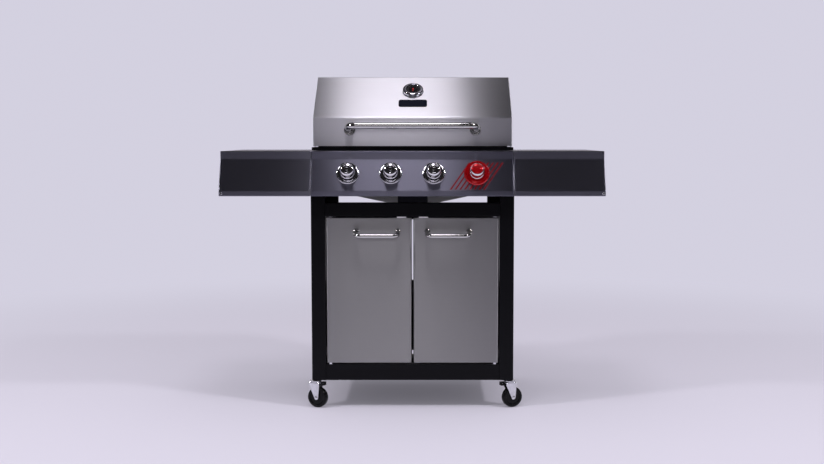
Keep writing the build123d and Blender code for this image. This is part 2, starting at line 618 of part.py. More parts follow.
def make_firebox_rim():
    """The flange round the tub's mouth, with its upstand, the lid's hinge ears and the rack's holes."""
    wall = FIREBOX_WALL
    side = FIREBOX_SIDE
    front = back(FIREBOX_FRONT)
    rear = back(FIREBOX_BACK)
    rim = block(-FLANGE_SIDE, FLANGE_SIDE, back(FLANGE_FRONT), back(FLANGE_BACK), FLANGE_TOP - FLANGE_DROP,
                FLANGE_TOP)
    rim -= block(wall - FLANGE_SIDE, FLANGE_SIDE - wall, back(FLANGE_FRONT + wall), back(FLANGE_BACK - wall),
                 FLANGE_TOP - FLANGE_DROP - 1, FLANGE_TOP - wall)
    rim += block(-side, side, front, rear, FLANGE_TOP - wall, FIREBOX_TOP)
    rim -= block(wall - side, side - wall, front + wall, rear - wall, FLANGE_TOP - 5, FIREBOX_TOP + 1)
    pivot_y = back(LID_PIVOT_BACK)
    for sign in (-1, 1):
        x0 = sign * HINGE_EAR_INSIDE
        x1 = sign * (HINGE_EAR_INSIDE + HINGE_EAR_SHEET)
        ear = block(x0, x1, pivot_y - HINGE_EAR_RADIUS, pivot_y + HINGE_EAR_RADIUS, FLANGE_TOP - wall, LID_PIVOT_Z)
        ear += rod((x0, pivot_y, LID_PIVOT_Z), (x1, pivot_y, LID_PIVOT_Z), HINGE_EAR_RADIUS)
        rim += ear - rod((x0 - sign, pivot_y, LID_PIVOT_Z), (x1 + sign, pivot_y, LID_PIVOT_Z),
                         LID_PIN_RADIUS + RUNNING_FIT)
    for y in rack_leg_places():
        for x in (-RACK_LEG_X, RACK_LEG_X):
            rim -= rod((x, y, FLANGE_TOP - 5), (x, y, FLANGE_TOP + 1), RACK_WIRE / 2 + FIT_GAP)
    return rim


def make_firebox_supports():
    """Side plates on the side rails, the tray's runners and the plate that carries them in front."""
    foot_top = REAR_LEG_TOP + SUPPORT_SHEET
    rear = CART_DEPTH - LEG
    plate = block(SUPPORT_INSIDE, SUPPORT_INSIDE + SUPPORT_SHEET, back(FIREBOX_FRONT), back(rear),
                  REAR_LEG_TOP, SUPPORT_TOP)
    plate += block(SUPPORT_INSIDE, SUPPORT_INSIDE + SUPPORT_FOOT, back(FIREBOX_FRONT), back(rear),
                   REAR_LEG_TOP, foot_top)
    tray_half = TRAY_WIDTH / 2
    runner_out = tray_half + RUNNER_OUT
    runner = block(tray_half - RUNNER_LIP, runner_out, back(FIREBOX_FRONT), back(FIREBOX_BACK),
                   TRAY_BOTTOM - SEAT_GAP - SHEET, TRAY_BOTTOM - SEAT_GAP)
    runner += block(runner_out - SHEET, runner_out, back(FIREBOX_FRONT), back(FIREBOX_BACK),
                    TRAY_BOTTOM - SEAT_GAP - SHEET, floor_z(runner_out - SHEET))
    bracket_back = FIREBOX_FRONT
    bracket = block(-runner_out, runner_out, back(bracket_back - SUPPORT_SHEET), back(bracket_back),
                    TRAY_BOTTOM - SEAT_GAP - SHEET, TRAY_BRACKET_TOP)
    return group(plate, mirrored(plate), runner, mirrored(runner), bracket)


def make_grease_tray():
    half = TRAY_WIDTH / 2 - FIT_GAP
    front = back(FIREBOX_FRONT + 4)
    rear = front + TRAY_DEPTH
    tray = block(-half, half, front, rear, TRAY_BOTTOM, TRAY_BOTTOM + TRAY_HEIGHT)
    tray -= block(-half + TRAY_WALL, half - TRAY_WALL, front + TRAY_WALL, rear - TRAY_WALL,
                  TRAY_BOTTOM + TRAY_WALL, TRAY_BOTTOM + TRAY_HEIGHT + 1)
    tray += block(-half, half, rear, rear + TRAY_PULL, TRAY_BOTTOM + TRAY_HEIGHT - 4, TRAY_BOTTOM + TRAY_HEIGHT - 2)
    return tray


def make_burners():
    front_y = back(FIREBOX_FRONT - 8)
    rear_y = back(FIREBOX_BACK - FIREBOX_WALL - 6)
    tubes = []
    for x in KNOB_X:
        tube = rod((x, front_y, BURNER_Z), (x, rear_y, BURNER_Z), BURNER_RADIUS)
        tube -= rod((x, front_y - 1, BURNER_Z), (x, rear_y - 2, BURNER_Z), BURNER_RADIUS - BURNER_WALL)
        tube += rod((x, rear_y - 1, BURNER_Z), (x, back(FIREBOX_BACK + 3), BURNER_Z), BURNER_TAIL_RADIUS)
        tubes.append(tube)
    return group(*tubes)


def make_flame_tamers():
    half = TAMER_WIDTH / 2
    top = TAMER_LEDGE_TOP
    face = make_face(Polyline([(-half, 0, top), (0, 0, top + TAMER_RISE), (half, 0, top),
                               (half - 3, 0, top), (0, 0, top + TAMER_RISE - 2), (-half + 3, 0, top)], close=True))
    front = back(FIREBOX_FRONT + FIREBOX_WALL + FIT_GAP)
    length = FIREBOX_BACK - FIREBOX_FRONT - 2 * FIREBOX_WALL - 2 * FIT_GAP
    return group(*[Pos(x, front, 0) * extrude(face, length, dir=(0, 1, 0)) for x in KNOB_X])


def make_grate():
    """The right cooking grate."""
    x0 = GRATE_MIDDLE_GAP / 2
    x1 = FIREBOX_SIDE - FIREBOX_WALL - GRATE_SIDE_GAP
    y0 = back(FIREBOX_FRONT + FIREBOX_WALL + 1.5)
    y1 = back(FIREBOX_BACK - FIREBOX_WALL - 1.5)
    z0 = GRATE_LEDGE_TOP + SEAT_GAP
    z1 = z0 + GRATE_FRAME
    grate = block(x0, x1, y0, y0 + GRATE_FRAME, z0, z1) + block(x0, x1, y1 - GRATE_FRAME, y1, z0, z1)
    grate += block(x0, x0 + GRATE_FRAME, y0, y1, z0, z1) + block(x1 - GRATE_FRAME, x1, y0, y1, z0, z1)
    inner = x1 - x0 - 2 * GRATE_FRAME
    count = int(inner // GRATE_PITCH)
    pitch = inner / (count + 1)
    for i in range(count):
        x = x0 + GRATE_FRAME + pitch * (i + 1)
        grate += rod((x, y0 + GRATE_FRAME / 2, z1 - GRATE_ROD / 2), (x, y1 - GRATE_FRAME / 2, z1 - GRATE_ROD / 2),
                     GRATE_ROD / 2)
    return grate


def rack_leg_places():
    return (back(RACK_BACK - RACK_DEPTH), back(RACK_BACK))


def make_warming_rack():
    front, rear = rack_leg_places()
    radius = RACK_WIRE / 2
    rack = rod((-RACK_LEG_X, front, RACK_Z), (RACK_LEG_X, front, RACK_Z), radius)
    rack += rod((-RACK_LEG_X, rear, RACK_Z), (RACK_LEG_X, rear, RACK_Z), radius)
    count = int(2 * RACK_LEG_X // RACK_PITCH)
    for i in range(1, count):
        x = -RACK_LEG_X + 2 * RACK_LEG_X * i / count
        rack += rod((x, front, RACK_Z), (x, rear, RACK_Z), radius * 0.8)
    seat = FLANGE_TOP + SEAT_GAP
    for x in (-RACK_LEG_X, RACK_LEG_X):
        for y in (front, rear):
            rack += rod((x, y, FLANGE_TOP - RACK_FOOT), (x, y, RACK_Z), radius)
            rack += rod((x, y, seat), (x, y, seat + RACK_COLLAR), radius + RACK_COLLAR)
            rack += Pos(x, y, RACK_Z) * Sphere(radius)
        rack += rod((x, front, RACK_Z), (x, rear, RACK_Z), radius)
    return rack


# ---- Control panel, shelves ----
def facet_line(shift):
    """The three-facet front profile, moved this far back."""
    return [(-PANEL_TOP_REACH + shift, PANEL_TOP), (-PANEL_TOP_REACH + shift, PANEL_TOP - PANEL_STRIP),
            (-PANEL_FOOT_REACH + shift, PANEL_BOTTOM + PANEL_FOOT), (-PANEL_FOOT_REACH + shift, PANEL_BOTTOM)]


def facet_band(depth, x0, x1):
    """The profile as a band of this depth, between two x."""
    return outline(facet_line(0) + facet_line(depth)[::-1], x0, x1)


def make_control_panel():
    panel = facet_band(SHEET / cos(PANEL_TILT), -PANEL_HALF, PANEL_HALF)
    panel += block(-PANEL_HALF, PANEL_HALF, back(-PANEL_TOP_REACH), back(FIREBOX_FRONT), PANEL_TOP - SHEET, PANEL_TOP)
    panel += block(-PANEL_HALF, PANEL_HALF, back(-PANEL_FOOT_REACH), back(-PANEL_FOOT_REACH + PANEL_RETURN),
                   PANEL_BOTTOM, PANEL_BOTTOM + SHEET)
    cheek_points = facet_line(0) + [(-FIT_GAP, PANEL_BOTTOM), (-FIT_GAP, FRONT_LEG_TOP),
                                    (FIREBOX_FRONT, FRONT_LEG_TOP), (FIREBOX_FRONT, PANEL_TOP)]
    cheek = outline(cheek_points, PANEL_HALF - SHEET, PANEL_HALF)
    panel += cheek + mirrored(cheek)
    for x in KNOB_X:
        panel -= on_panel(x).location * Cylinder(VALVE_STEM_RADIUS + 2, 20)
    return panel


def make_fascia():
    """The right side shelf's front."""
    x0 = PANEL_HALF + SHELF_SEAM
    fascia = facet_band(SHEET / cos(PANEL_TILT), x0, SHELF_END)
    fascia += block(x0, SHELF_END, back(-PANEL_FOOT_REACH), back(-PANEL_FOOT_REACH + FASCIA_RETURN),
                    PANEL_BOTTOM, PANEL_BOTTOM + SHEET)
    fascia += facet_band(FASCIA_RETURN, x0, x0 + SHEET) + facet_band(FASCIA_RETURN, SHELF_END - SHEET, SHELF_END)
    return fascia


def make_shelf():
    """The right side shelf: a plate with folded edges all round."""
    x0 = PANEL_HALF + SHELF_SEAM + SHEET
    x1 = SHELF_END - SHEET
    y0 = back(-PANEL_TOP_REACH + SHEET / cos(PANEL_TILT))
    y1 = back(SHELF_BACK)
    z0 = PANEL_TOP - SHELF_EDGE
    shelf = block(x0, x1, y0 + FASCIA_RETURN, y1, z0, PANEL_TOP)
    shelf -= block(x0 + SHEET, x1 - SHEET, y0 + FASCIA_RETURN + SHEET, y1 - SHEET, z0 - 1, PANEL_TOP - SHEET)
    nose = block(x0, x1, y0, y0 + FASCIA_RETURN + SHEET, PANEL_TOP - SHEET, PANEL_TOP)
    return shelf + nose


def make_shelf_arms():
    """Two arms on each side, from the firebox wall to under the shelf's outer edge."""
    width, height = SHELF_ARM
    top = PANEL_TOP - SHELF_EDGE
    arms = []
    for y in (back(SHELF_ARM_FRONT), back(SHELF_ARM_BACK)):
        arm = block(FIREBOX_SIDE, SHELF_END - SHEET, y - width / 2, y + width / 2, top - height, top)
        arm -= block(FIREBOX_SIDE + TUBE_WALL, SHELF_END, y - width / 2 + TUBE_WALL, y + width / 2 - TUBE_WALL,
                     top - height - 1, top - TUBE_WALL)
        arms += [arm, mirrored(arm)]
    return group(*arms)


def make_bezel(x, radius):
    profile = [(BEZEL_BORE, 0), (radius, 0), (radius, 2), (radius * 0.9, 5), (radius * 0.72, BEZEL_HEIGHT),
               (radius * 0.62, BEZEL_HEIGHT), (radius * 0.58, 4), (BEZEL_BORE, 4)]
    return turned(profile, on_panel(x))


def make_knob(x):
    """A stepped round knob with a sunk face, and a mark across its rim that shows how far it is turned."""
    nose = KNOB_NOSE
    rim = KNOB_NOSE_RADIUS - KNOB_FACE_DEPTH
    profile = [(0, KNOB_HUB_BOTTOM), (KNOB_HUB_RADIUS, KNOB_HUB_BOTTOM), (KNOB_HUB_RADIUS, KNOB_BASE),
               (KNOB_RADIUS, KNOB_BASE), (KNOB_RADIUS, KNOB_BASE + 4), (KNOB_RADIUS - 3, KNOB_BASE + 7),
               (KNOB_NOSE_RADIUS + 1, nose - 8), (KNOB_NOSE_RADIUS, nose), (rim, nose),
               (rim - 1, nose - KNOB_FACE_DEPTH), (0, nose - KNOB_FACE_DEPTH)]
    knob = turned(profile, on_panel(x))
    place = on_panel(x).location
    mark = Pos(0, KNOB_NOSE_RADIUS - KNOB_FACE_DEPTH / 2, nose) * Box(KNOB_MARK, 3 * KNOB_FACE_DEPTH, KNOB_FACE_DEPTH)
    bore = Pos(0, 0, KNOB_HUB_BOTTOM + KNOB_BORE_DEPTH / 2 - 1)
    bore *= Cylinder(VALVE_STEM_RADIUS + RUNNING_FIT, KNOB_BORE_DEPTH + 2)
    return knob - place * mark - place * bore


def make_valve_stem(x):
    top = KNOB_HUB_BOTTOM + KNOB_BORE_DEPTH - 1
    stem = Pos(0, 0, (top - VALVE_STEM_BACK) / 2) * Cylinder(VALVE_STEM_RADIUS, top + VALVE_STEM_BACK)
    return on_panel(x).location * stem


def manifold_centre():
    """Below the middle of the valve bodies, square to the valves' axes."""
    plane = on_panel(0)
    return plane.origin - plane.z_dir * (VALVE_FRONT + VALVE_BACK) / 2 - plane.y_dir * MANIFOLD_DROP


def make_valves():
    """Valve bodies with a collar against the panel, a neck on the manifold and a spud into the burner."""
    centre = manifold_centre()
    middle = -(VALVE_FRONT + VALVE_BACK) / 2
    collar_length = VALVE_FRONT - SHEET - SEAT_GAP
    valves = []
    for x in KNOB_X:
        place = on_panel(x).location
        body = place * Pos(0, 0, middle) * Box(VALVE_BLOCK, VALVE_BLOCK, VALVE_BACK - VALVE_FRONT)
        collar = place * Pos(0, 0, -VALVE_FRONT + collar_length / 2) * Cylinder(VALVE_COLLAR_RADIUS, collar_length)
        neck = place * Pos(0, -MANIFOLD_DROP / 2, middle) * Rot(90, 0, 0) * Cylinder(
            VALVE_COLLAR_RADIUS - 2, MANIFOLD_DROP)
        spud = rod((x, back(0), BURNER_Z), (x, back(FIREBOX_FRONT - 3), BURNER_Z), SPUD_RADIUS)
        bore = place * Pos(0, 0, -VALVE_STEM_BACK / 2) * Cylinder(
            VALVE_STEM_RADIUS + RUNNING_FIT, VALVE_STEM_BACK + 2 * STEM_PUSH)
        pipe = rod((x - 60, centre.Y, centre.Z), (x + 60, centre.Y, centre.Z), MANIFOLD_RADIUS)
        valves.append(body + collar + neck + spud - bore - pipe)
    return group(*valves)


def make_manifold():
    """The pipe behind the panel, closed on the left, with the gas inlet at its right end."""
    centre = manifold_centre()
    half = MANIFOLD_HALF
    nut_height = 10
    end = half + nut_height + INLET_LENGTH
    pipe = rod((-half, centre.Y, centre.Z), (half, centre.Y, centre.Z), MANIFOLD_RADIUS)
    pipe -= rod((3 - half, centre.Y, centre.Z), (half + 1, centre.Y, centre.Z), MANIFOLD_RADIUS - 2)
    nut_plane = Plane(origin=(half, centre.Y, centre.Z), x_dir=(0, 1, 0), z_dir=(1, 0, 0))
    inlet = extrude(nut_plane * RegularPolygon(MANIFOLD_RADIUS + 1, 6), nut_height)
    inlet += rod((half + nut_height, centre.Y, centre.Z), (end, centre.Y, centre.Z), INLET_RADIUS)
    inlet -= rod((half - 1, centre.Y, centre.Z), (end + 1, centre.Y, centre.Z), INLET_RADIUS - 3)
    return group(pipe, inlet)


# ---- Lid ----
def lid_profile(inset):
    """The lid's closed outline in (depth, height), this far inside its outer faces."""
    points = [(LID_FRONT, LID_BOTTOM - LID_TRIM), (LID_FRONT, LID_BREAK), (LID_TOP_FRONT, LID_TOP),
              (LID_TOP_BACK, LID_TOP), (LID_BACK, LID_BACK_BREAK), (LID_BACK, LID_BOTTOM - LID_TRIM)]
    line = FilletPolyline([(0, back(y), z) for y, z in points], radius=LID_BEND)
    closing = Line(line @ 1, line @ 0)
    face = make_face([line, closing])
    if inset:
        face = offset(face, amount=-inset, kind=Kind.INTERSECTION)
    return face


def make_lid_shell():
    sheet = lid_profile(0) - lid_profile(LID_SHEET)
    shell = Pos(-LID_HALF, 0, 0) * extrude(sheet, 2 * LID_HALF, dir=(1, 0, 0))
    middle = back((LID_FRONT + LID_BACK) / 2)
    shell -= block(-LID_HALF - 1, LID_HALF + 1, back(LID_FRONT - 1), middle, LID_BOTTOM - 2 * LID_TRIM, LID_BOTTOM)
    shell -= block(-LID_HALF - 1, LID_HALF + 1, middle, back(LID_BACK + 1), LID_BOTTOM - 2 * LID_TRIM, LID_VENT)
    stem_hole = on_lid(GAUGE_UP).location * Cylinder(GAUGE_STEM_RADIUS + FIT_GAP, 20)
    return shell - stem_hole


def make_lid_end():
    """The right end plate, with its hinge lug, pin hole and stop foot."""
    x1 = LID_END_OUTSIDE
    x0 = x1 - LID_END_SHEET
    plate = Pos(x0, 0, 0) * extrude(lid_profile(LID_SHEET), LID_END_SHEET, dir=(1, 0, 0))
    pivot_y = back(LID_PIVOT_BACK)
    plate -= block(x0 - 1, x1 + 1, back(0), back(LID_BACK + 5), LID_BOTTOM - 2 * LID_TRIM, LID_BOTTOM)
    plate -= block(x0 - 1, x1 + 1, pivot_y, back(LID_BACK + 5), LID_BOTTOM - 1, LID_VENT)
    plate += rod((x0, pivot_y, LID_PIVOT_Z), (x1, pivot_y, LID_PIVOT_Z), LID_LUG_RADIUS - 0.5)
    foot_y = back(LID_FOOT_BACK)
    plate += block(x0, x1, foot_y, foot_y + LID_FOOT, FLANGE_TOP + SEAT_GAP, LID_BOTTOM + 1)
    return plate - rod((x0 - 1, pivot_y, LID_PIVOT_Z), (x1 + 1, pivot_y, LID_PIVOT_Z), LID_PIN_RADIUS + RUNNING_FIT)


def make_lid_handle():
    return bar_handle(LID_HANDLE_HALF, LID_HANDLE_ROOT_HALF, 0, back(LID_FRONT),
                      LID_HANDLE_ROOT_Z, LID_HANDLE_BAR_Z, LID_HANDLE_STANDOFF, LID_HANDLE_BEND,
                      LID_HANDLE_RADIUS, LID_HANDLE_FLANGE)


def make_gauge_housing():
    place = on_lid(GAUGE_UP)
    radius = GAUGE_RADIUS
    floor = GAUGE_HEIGHT - GAUGE_DIAL_DEPTH
    profile = [(0, 0), (radius, 0), (radius, 3), (radius * 0.97, 9), (radius * 0.86, GAUGE_HEIGHT),
               (radius * 0.76, GAUGE_HEIGHT), (GAUGE_DIAL_RADIUS, floor + 1), (GAUGE_DIAL_RADIUS, floor - 1),
               (0, floor - 1)]
    stem = place.location * Pos(0, 0, -GAUGE_STEM_LENGTH / 2) * Cylinder(GAUGE_STEM_RADIUS, GAUGE_STEM_LENGTH)
    return turned(profile, place) + stem


def make_gauge_dial():
    """The printed plate in the bottom of the gauge, with the needle's bearing in its middle."""
    floor = GAUGE_HEIGHT - GAUGE_DIAL_DEPTH - DIAL_SHEET
    outer = GAUGE_DIAL_RADIUS - 0.1
    bore = NEEDLE_SHAFT_RADIUS + RUNNING_FIT
    return turned([(bore, floor), (outer, floor), (outer, floor + DIAL_SHEET), (bore, floor + DIAL_SHEET)],
                  on_lid(GAUGE_UP))


def make_gauge_needle():
    length, width, thick = NEEDLE
    dial_top = GAUGE_HEIGHT - GAUGE_DIAL_DEPTH
    bottom = dial_top + NEEDLE_LIFT
    shaft_bottom = dial_top - DIAL_SHEET + SEAT_GAP
    pointer = Pos(0, length / 2 - width, bottom + thick / 2) * Box(width, length, thick)
    hub = Pos(0, 0, bottom + thick / 2) * Cylinder(width, thick)
    shaft = Pos(0, 0, (bottom + shaft_bottom) / 2) * Cylinder(NEEDLE_SHAFT_RADIUS, bottom - shaft_bottom)
    return on_lid(GAUGE_UP).location * (pointer + hub + shaft)


def make_badge():
    width, height, thick = BADGE
    return extrude(on_lid(BADGE_UP) * RectangleRounded(width, height, BADGE_ROUND), thick)


# ---- Screws ----
def screw_head(x, y, z, direction):
    head = extrude(Plane(origin=(x, y, z), z_dir=direction) * Circle(SCREW_RADIUS), SCREW_HEIGHT)
    outer = head.edges().filter_by(GeomType.CIRCLE)
    far = max(outer, key=lambda e: (e.center() - Vector(x, y, z)).length)
    return fillet(far, SCREW_HEIGHT * 0.6)


def make_screws():
    """Screw heads on the cart: side panels, rear panel and the lower corners of the fascias."""
    heads = []
    side_x = LEG_MIDDLE_X + PANEL_FLANGE / 2
    rear_y = back(CART_DEPTH - LEG / 2 + PANEL_FLANGE / 2)
    inset = SCREW_INSET
    for sign in (-1, 1):
        for z in (LEG_BOTTOM + inset, (LEG_BOTTOM + CABINET_TOP) / 2, CABINET_TOP - inset):
            for y in (back(LEG + inset), back(CART_DEPTH - LEG - inset)):
                heads.append(screw_head(sign * side_x, y, z, (sign, 0, 0)))
        for z in (REAR_PANEL_BOTTOM + inset, REAR_PANEL_TOP - inset):
            heads.append(screw_head(sign * (INSIDE - inset), rear_y, z, (0, 1, 0)))
        heads.append(screw_head(sign * (SHELF_END - FASCIA_SCREW_INSET), back(-PANEL_FOOT_REACH),
                                PANEL_BOTTOM + FASCIA_SCREW_INSET, (0, -1, 0)))
    return group(*heads)


def make_lid_screws():
    """Screws inside the lid that hold the handle, with their washers."""
    inner = back(LID_FRONT + LID_SHEET)
    washer_radius, washer_height = LID_WASHER
    head_radius, head_height = LID_SCREW_HEAD
    seat = inner + washer_height
    screws = []
    for x in (-LID_HANDLE_ROOT_HALF, LID_HANDLE_ROOT_HALF):
        washer = rod((x, inner, LID_HANDLE_ROOT_Z), (x, seat, LID_HANDLE_ROOT_Z), washer_radius)
        head = rod((x, seat, LID_HANDLE_ROOT_Z), (x, seat + head_height, LID_HANDLE_ROOT_Z), head_radius)
        screws.append(washer + head)
    return group(*screws)


# Each caster's stem and the way its wheel trails. The front pair trails to the right, one wheel turned in
# and the other out. The rear pair is splayed.
STEM_X = LEG_MIDDLE_X + STEM_OUT
CASTERS = {
    "front_left": (-STEM_X, LEG_MIDDLE_Y[0], -FRONT_CASTER_TURN),
    "front_right": (STEM_X, LEG_MIDDLE_Y[0], FRONT_CASTER_TURN),
    "rear_left": (-STEM_X, LEG_MIDDLE_Y[1], 180 + REAR_CASTER_TURN),
    "rear_right": (STEM_X, LEG_MIDDLE_Y[1], -REAR_CASTER_TURN),
}


def make_all():
    parts["legs"] = make_legs()
    parts["leg_plugs"] = make_leg_plugs()
    parts["front_rails"] = make_front_rails()
    parts["frame_rails"] = make_frame_rails()
    parts["rear_panel"] = make_rear_panel()
    parts["side_panels"] = make_side_panels()
    parts["bottom_shelf"] = make_bottom_shelf()
    parts["magnet_catch"] = make_magnet_catch()
    parts["hinge_pins"] = make_hinge_pins()
    parts["firebox"] = make_firebox()
    parts["firebox_rim"] = make_firebox_rim()
    parts["firebox_supports"] = make_firebox_supports()
    parts["grease_tray"] = make_grease_tray()
    parts["burners"] = make_burners()
    parts["flame_tamers"] = make_flame_tamers()
    grate = make_grate()
    parts["grate_right"] = grate
    parts["grate_left"] = mirrored(grate)
    parts["warming_rack"] = make_warming_rack()
    parts["control_panel"] = make_control_panel()
    parts["gas_manifold"] = make_manifold()
    parts["gas_valves"] = make_valves()
    parts["knob_bezels"] = group(*[make_bezel(x, BEZEL_RADIUS) for x in KNOB_X[:3]])
    parts["knob_bezel_red"] = make_bezel(KNOB_X[3], RED_BEZEL_RADIUS)
    for i, x in enumerate(KNOB_X):
        name = "red" if i == 3 else str(i + 1)
        parts["knob_" + name] = make_knob(x)
        parts["valve_stem_" + name] = make_valve_stem(x)
    shelf = make_shelf()
    fascia = make_fascia()
    parts["shelf_right"] = shelf
    parts["shelf_left"] = mirrored(shelf)
    parts["shelf_fascias"] = group(fascia, mirrored(fascia))
    parts["shelf_arms"] = make_shelf_arms()
    parts["lid_shell"] = make_lid_shell()
    end = make_lid_end()
    parts["lid_ends"] = group(end, mirrored(end))
    parts["lid_handle"] = make_lid_handle()
    parts["lid_screws"] = make_lid_screws()
    parts["gauge_housing"] = make_gauge_housing()
    parts["gauge_dial"] = make_gauge_dial()
    parts["gauge_needle"] = make_gauge_needle()
    parts["badge_plate"] = make_badge()
    door, plate = make_door()
    handle = make_door_handle()
    parts["door_right"] = group(door, plate)
    parts["door_left"] = group(mirrored(door), mirrored(plate))
    parts["door_handle_right"] = handle
    parts["door_handle_left"] = group(*[mirrored(s) for s in handle.solids()])
    parts["screws"] = make_screws()
    wheel = make_wheel()
    fork, axle = make_fork()
    stem = make_caster_stem()
    pedal = make_brake_pedal()
    stems = []
    for name, (x, y, heading) in CASTERS.items():
        place = caster_frame(x, y, heading)
        parts["wheel_" + name] = place * wheel
        parts["fork_" + name] = group(place * fork, place * axle)
        stems.append(place * stem)
        if name == "front_left":
            parts["brake_left"] = place * pedal
        if name == "front_right":
            parts["brake_right"] = place * Rot(0, 0, 180) * pedal
    parts["caster_stems"] = group(*stems)


make_all()
os.makedirs("parts", exist_ok=True)
for name, shape in parts.items():
    export_step(shape, f"parts/{name}.step")
print(len(parts), "nodes")
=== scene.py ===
import bpy
import bmesh
import json
from math import atan2, cos, pi, radians, sin, tan
from mathutils import Matrix, Vector


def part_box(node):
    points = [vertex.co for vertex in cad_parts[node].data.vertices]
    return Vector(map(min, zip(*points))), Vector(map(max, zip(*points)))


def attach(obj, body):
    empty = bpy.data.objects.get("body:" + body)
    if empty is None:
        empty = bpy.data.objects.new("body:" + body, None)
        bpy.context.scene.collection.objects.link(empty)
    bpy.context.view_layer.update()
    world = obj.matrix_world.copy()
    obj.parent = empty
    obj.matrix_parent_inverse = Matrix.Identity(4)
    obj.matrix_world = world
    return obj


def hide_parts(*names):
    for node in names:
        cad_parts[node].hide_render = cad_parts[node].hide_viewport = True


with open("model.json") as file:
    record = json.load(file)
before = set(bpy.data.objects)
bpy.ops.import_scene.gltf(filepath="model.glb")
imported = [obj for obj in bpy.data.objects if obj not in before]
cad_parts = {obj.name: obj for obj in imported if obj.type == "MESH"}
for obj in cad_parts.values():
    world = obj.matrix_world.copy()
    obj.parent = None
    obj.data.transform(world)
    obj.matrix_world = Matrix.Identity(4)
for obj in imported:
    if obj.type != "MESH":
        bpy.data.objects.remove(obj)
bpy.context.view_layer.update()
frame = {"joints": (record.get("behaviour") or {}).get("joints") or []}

MM = 0.001


def low(node):
    return Vector(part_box(node)[0])


def high(node):
    return Vector(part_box(node)[1])


# ---- Places read from the frame ----
LEG_FRONT = low("legs").y
JOINTS = {joint["name"]: joint for joint in frame["joints"]}
LID_LOW = low("lid_shell")
LID_HIGH = high("lid_shell")
CORNERS = ["front_left", "front_right", "rear_left", "rear_right"]


def back(depth):
    """The y of a place this many millimetres behind the front legs' front."""
    return LEG_FRONT + depth * MM


# ---- Modelling, as by hand ----
ALIGNED = 0.999  # the cosine from which two directions count as one
TOUCHING = 1e-6
SLIGHT_FOLD, SHARP_FOLD = 0.15, 1  # in radians
SMOOTH_UNDER = 32  # folds under this many degrees are shaded smooth


def take(piece):
    """Make this the only selected, active object."""
    bpy.ops.object.select_all(action="DESELECT")
    piece.select_set(True)
    bpy.context.view_layer.objects.active = piece


def named(name):
    """Name the object that was just added."""
    piece = bpy.context.object
    piece.name = name
    piece.data.name = name
    return piece


def settle(piece):
    """Put the piece's place into its mesh."""
    take(piece)
    bpy.ops.object.transform_apply(location=True, rotation=True, scale=True)


class Editing:
    """Edit mode on one piece, whose parts are picked by place or normal and shaped by operators."""

    def __init__(self, piece):
        self.piece = piece

    def __enter__(self):
        take(self.piece)
        bpy.ops.object.mode_set(mode="EDIT")
        return self

    def __exit__(self, *problem):
        bpy.ops.object.mode_set(mode="OBJECT")

    def pick(self, kind, test):
        """Select the verts, edges or faces that pass the test, and nothing else."""
        bpy.ops.mesh.select_mode(type=kind.rstrip("s").upper())
        bpy.ops.mesh.select_all(action="DESELECT")
        mesh = bmesh.from_edit_mesh(self.piece.data)
        mesh.normal_update()
        chosen = [item for item in getattr(mesh, kind) if test(item)]
        for item in chosen:
            item.select_set(True)
        mesh.select_flush_mode()
        bmesh.update_edit_mesh(self.piece.data)
        return len(chosen)

    def facing(self, *normal):
        """Select the faces that look this way."""
        return self.pick("faces", lambda face: face.normal.dot(Vector(normal)) > ALIGNED)

    def all(self):
        """Select everything."""
        bpy.ops.mesh.select_mode(type="VERT")
        bpy.ops.mesh.select_all(action="SELECT")

    def push(self, x=0, y=0, z=0):
        """Extrude what is selected."""
        bpy.ops.mesh.extrude_region_move(TRANSFORM_OT_translate={"value": (x, y, z)})

    def inset(self, width):
        bpy.ops.mesh.inset(thickness=width, use_even_offset=True)

    def scale(self, x, y, z, centre):
        bpy.ops.transform.resize(value=(x, y, z), center_override=centre)

    def round_edges(self, width, segments, test):
        """Round the folds that pass the test. Open edges are left as they are."""
        if self.pick("edges", lambda edge: edge.is_manifold and edge.calc_face_angle() > SLIGHT_FOLD
                     and test(edge)):
            bpy.ops.mesh.bevel(offset=width, segments=segments, affect="EDGES", clamp_overlap=True)

    def outward(self):
        """Merge doubles and turn every face outwards."""
        self.all()
        bpy.ops.mesh.remove_doubles(threshold=TOUCHING)
        bpy.ops.mesh.normals_make_consistent(inside=False)


def edge_runs(axis):
    """A test for the edges that run along this axis."""
    def test(edge):
        run = (edge.verts[1].co - edge.verts[0].co).normalized()
        return abs(run[axis]) > ALIGNED
    return test


def is_sharp(edge):
    return edge.calc_face_angle() > SHARP_FOLD


def modify(piece, kind, **settings):
    """Work one modifier into the piece."""
    take(piece)
    modifier = piece.modifiers.new(kind, kind)
    for key, setting in settings.items():
        setattr(modifier, key, setting)
    bpy.ops.object.modifier_apply(modifier=modifier.name)


def smooth(piece):
    """Shade smooth over the folds, with each flat face kept flat."""
    take(piece)
    bpy.ops.object.shade_smooth_by_angle(angle=radians(SMOOTH_UNDER))
    modify(piece, "WEIGHTED_NORMAL", keep_sharp=True, weight=100)


def rounded(piece, width, segments=2, angle=30):
    """Round every edge that is sharper than the angle."""
    modify(piece, "BEVEL", width=width, segments=segments, limit_method="ANGLE", angle_limit=radians(angle))
    smooth(piece)


def thicken(piece, wall):
    """Give a sheet its thickness, inwards."""
    modify(piece, "SOLIDIFY", thickness=wall, offset=-1, use_even_offset=True)


def join(pieces):
    """One piece out of several, under the first one's name."""
    take(pieces[0])
    for piece in pieces[1:]:
        piece.select_set(True)
    bpy.ops.object.join()
    return pieces[0]


def copy_of(piece, name, place):
    """A copy with its own mesh, moved into place."""
    take(piece)
    bpy.ops.object.duplicate()
    copy = named(name)
    copy.data.transform(place)
    if place.determinant() < 0:
        bpy.ops.mesh.customdata_custom_splitnormals_clear()
        copy.data.flip_normals()
        smooth(copy)
    return copy


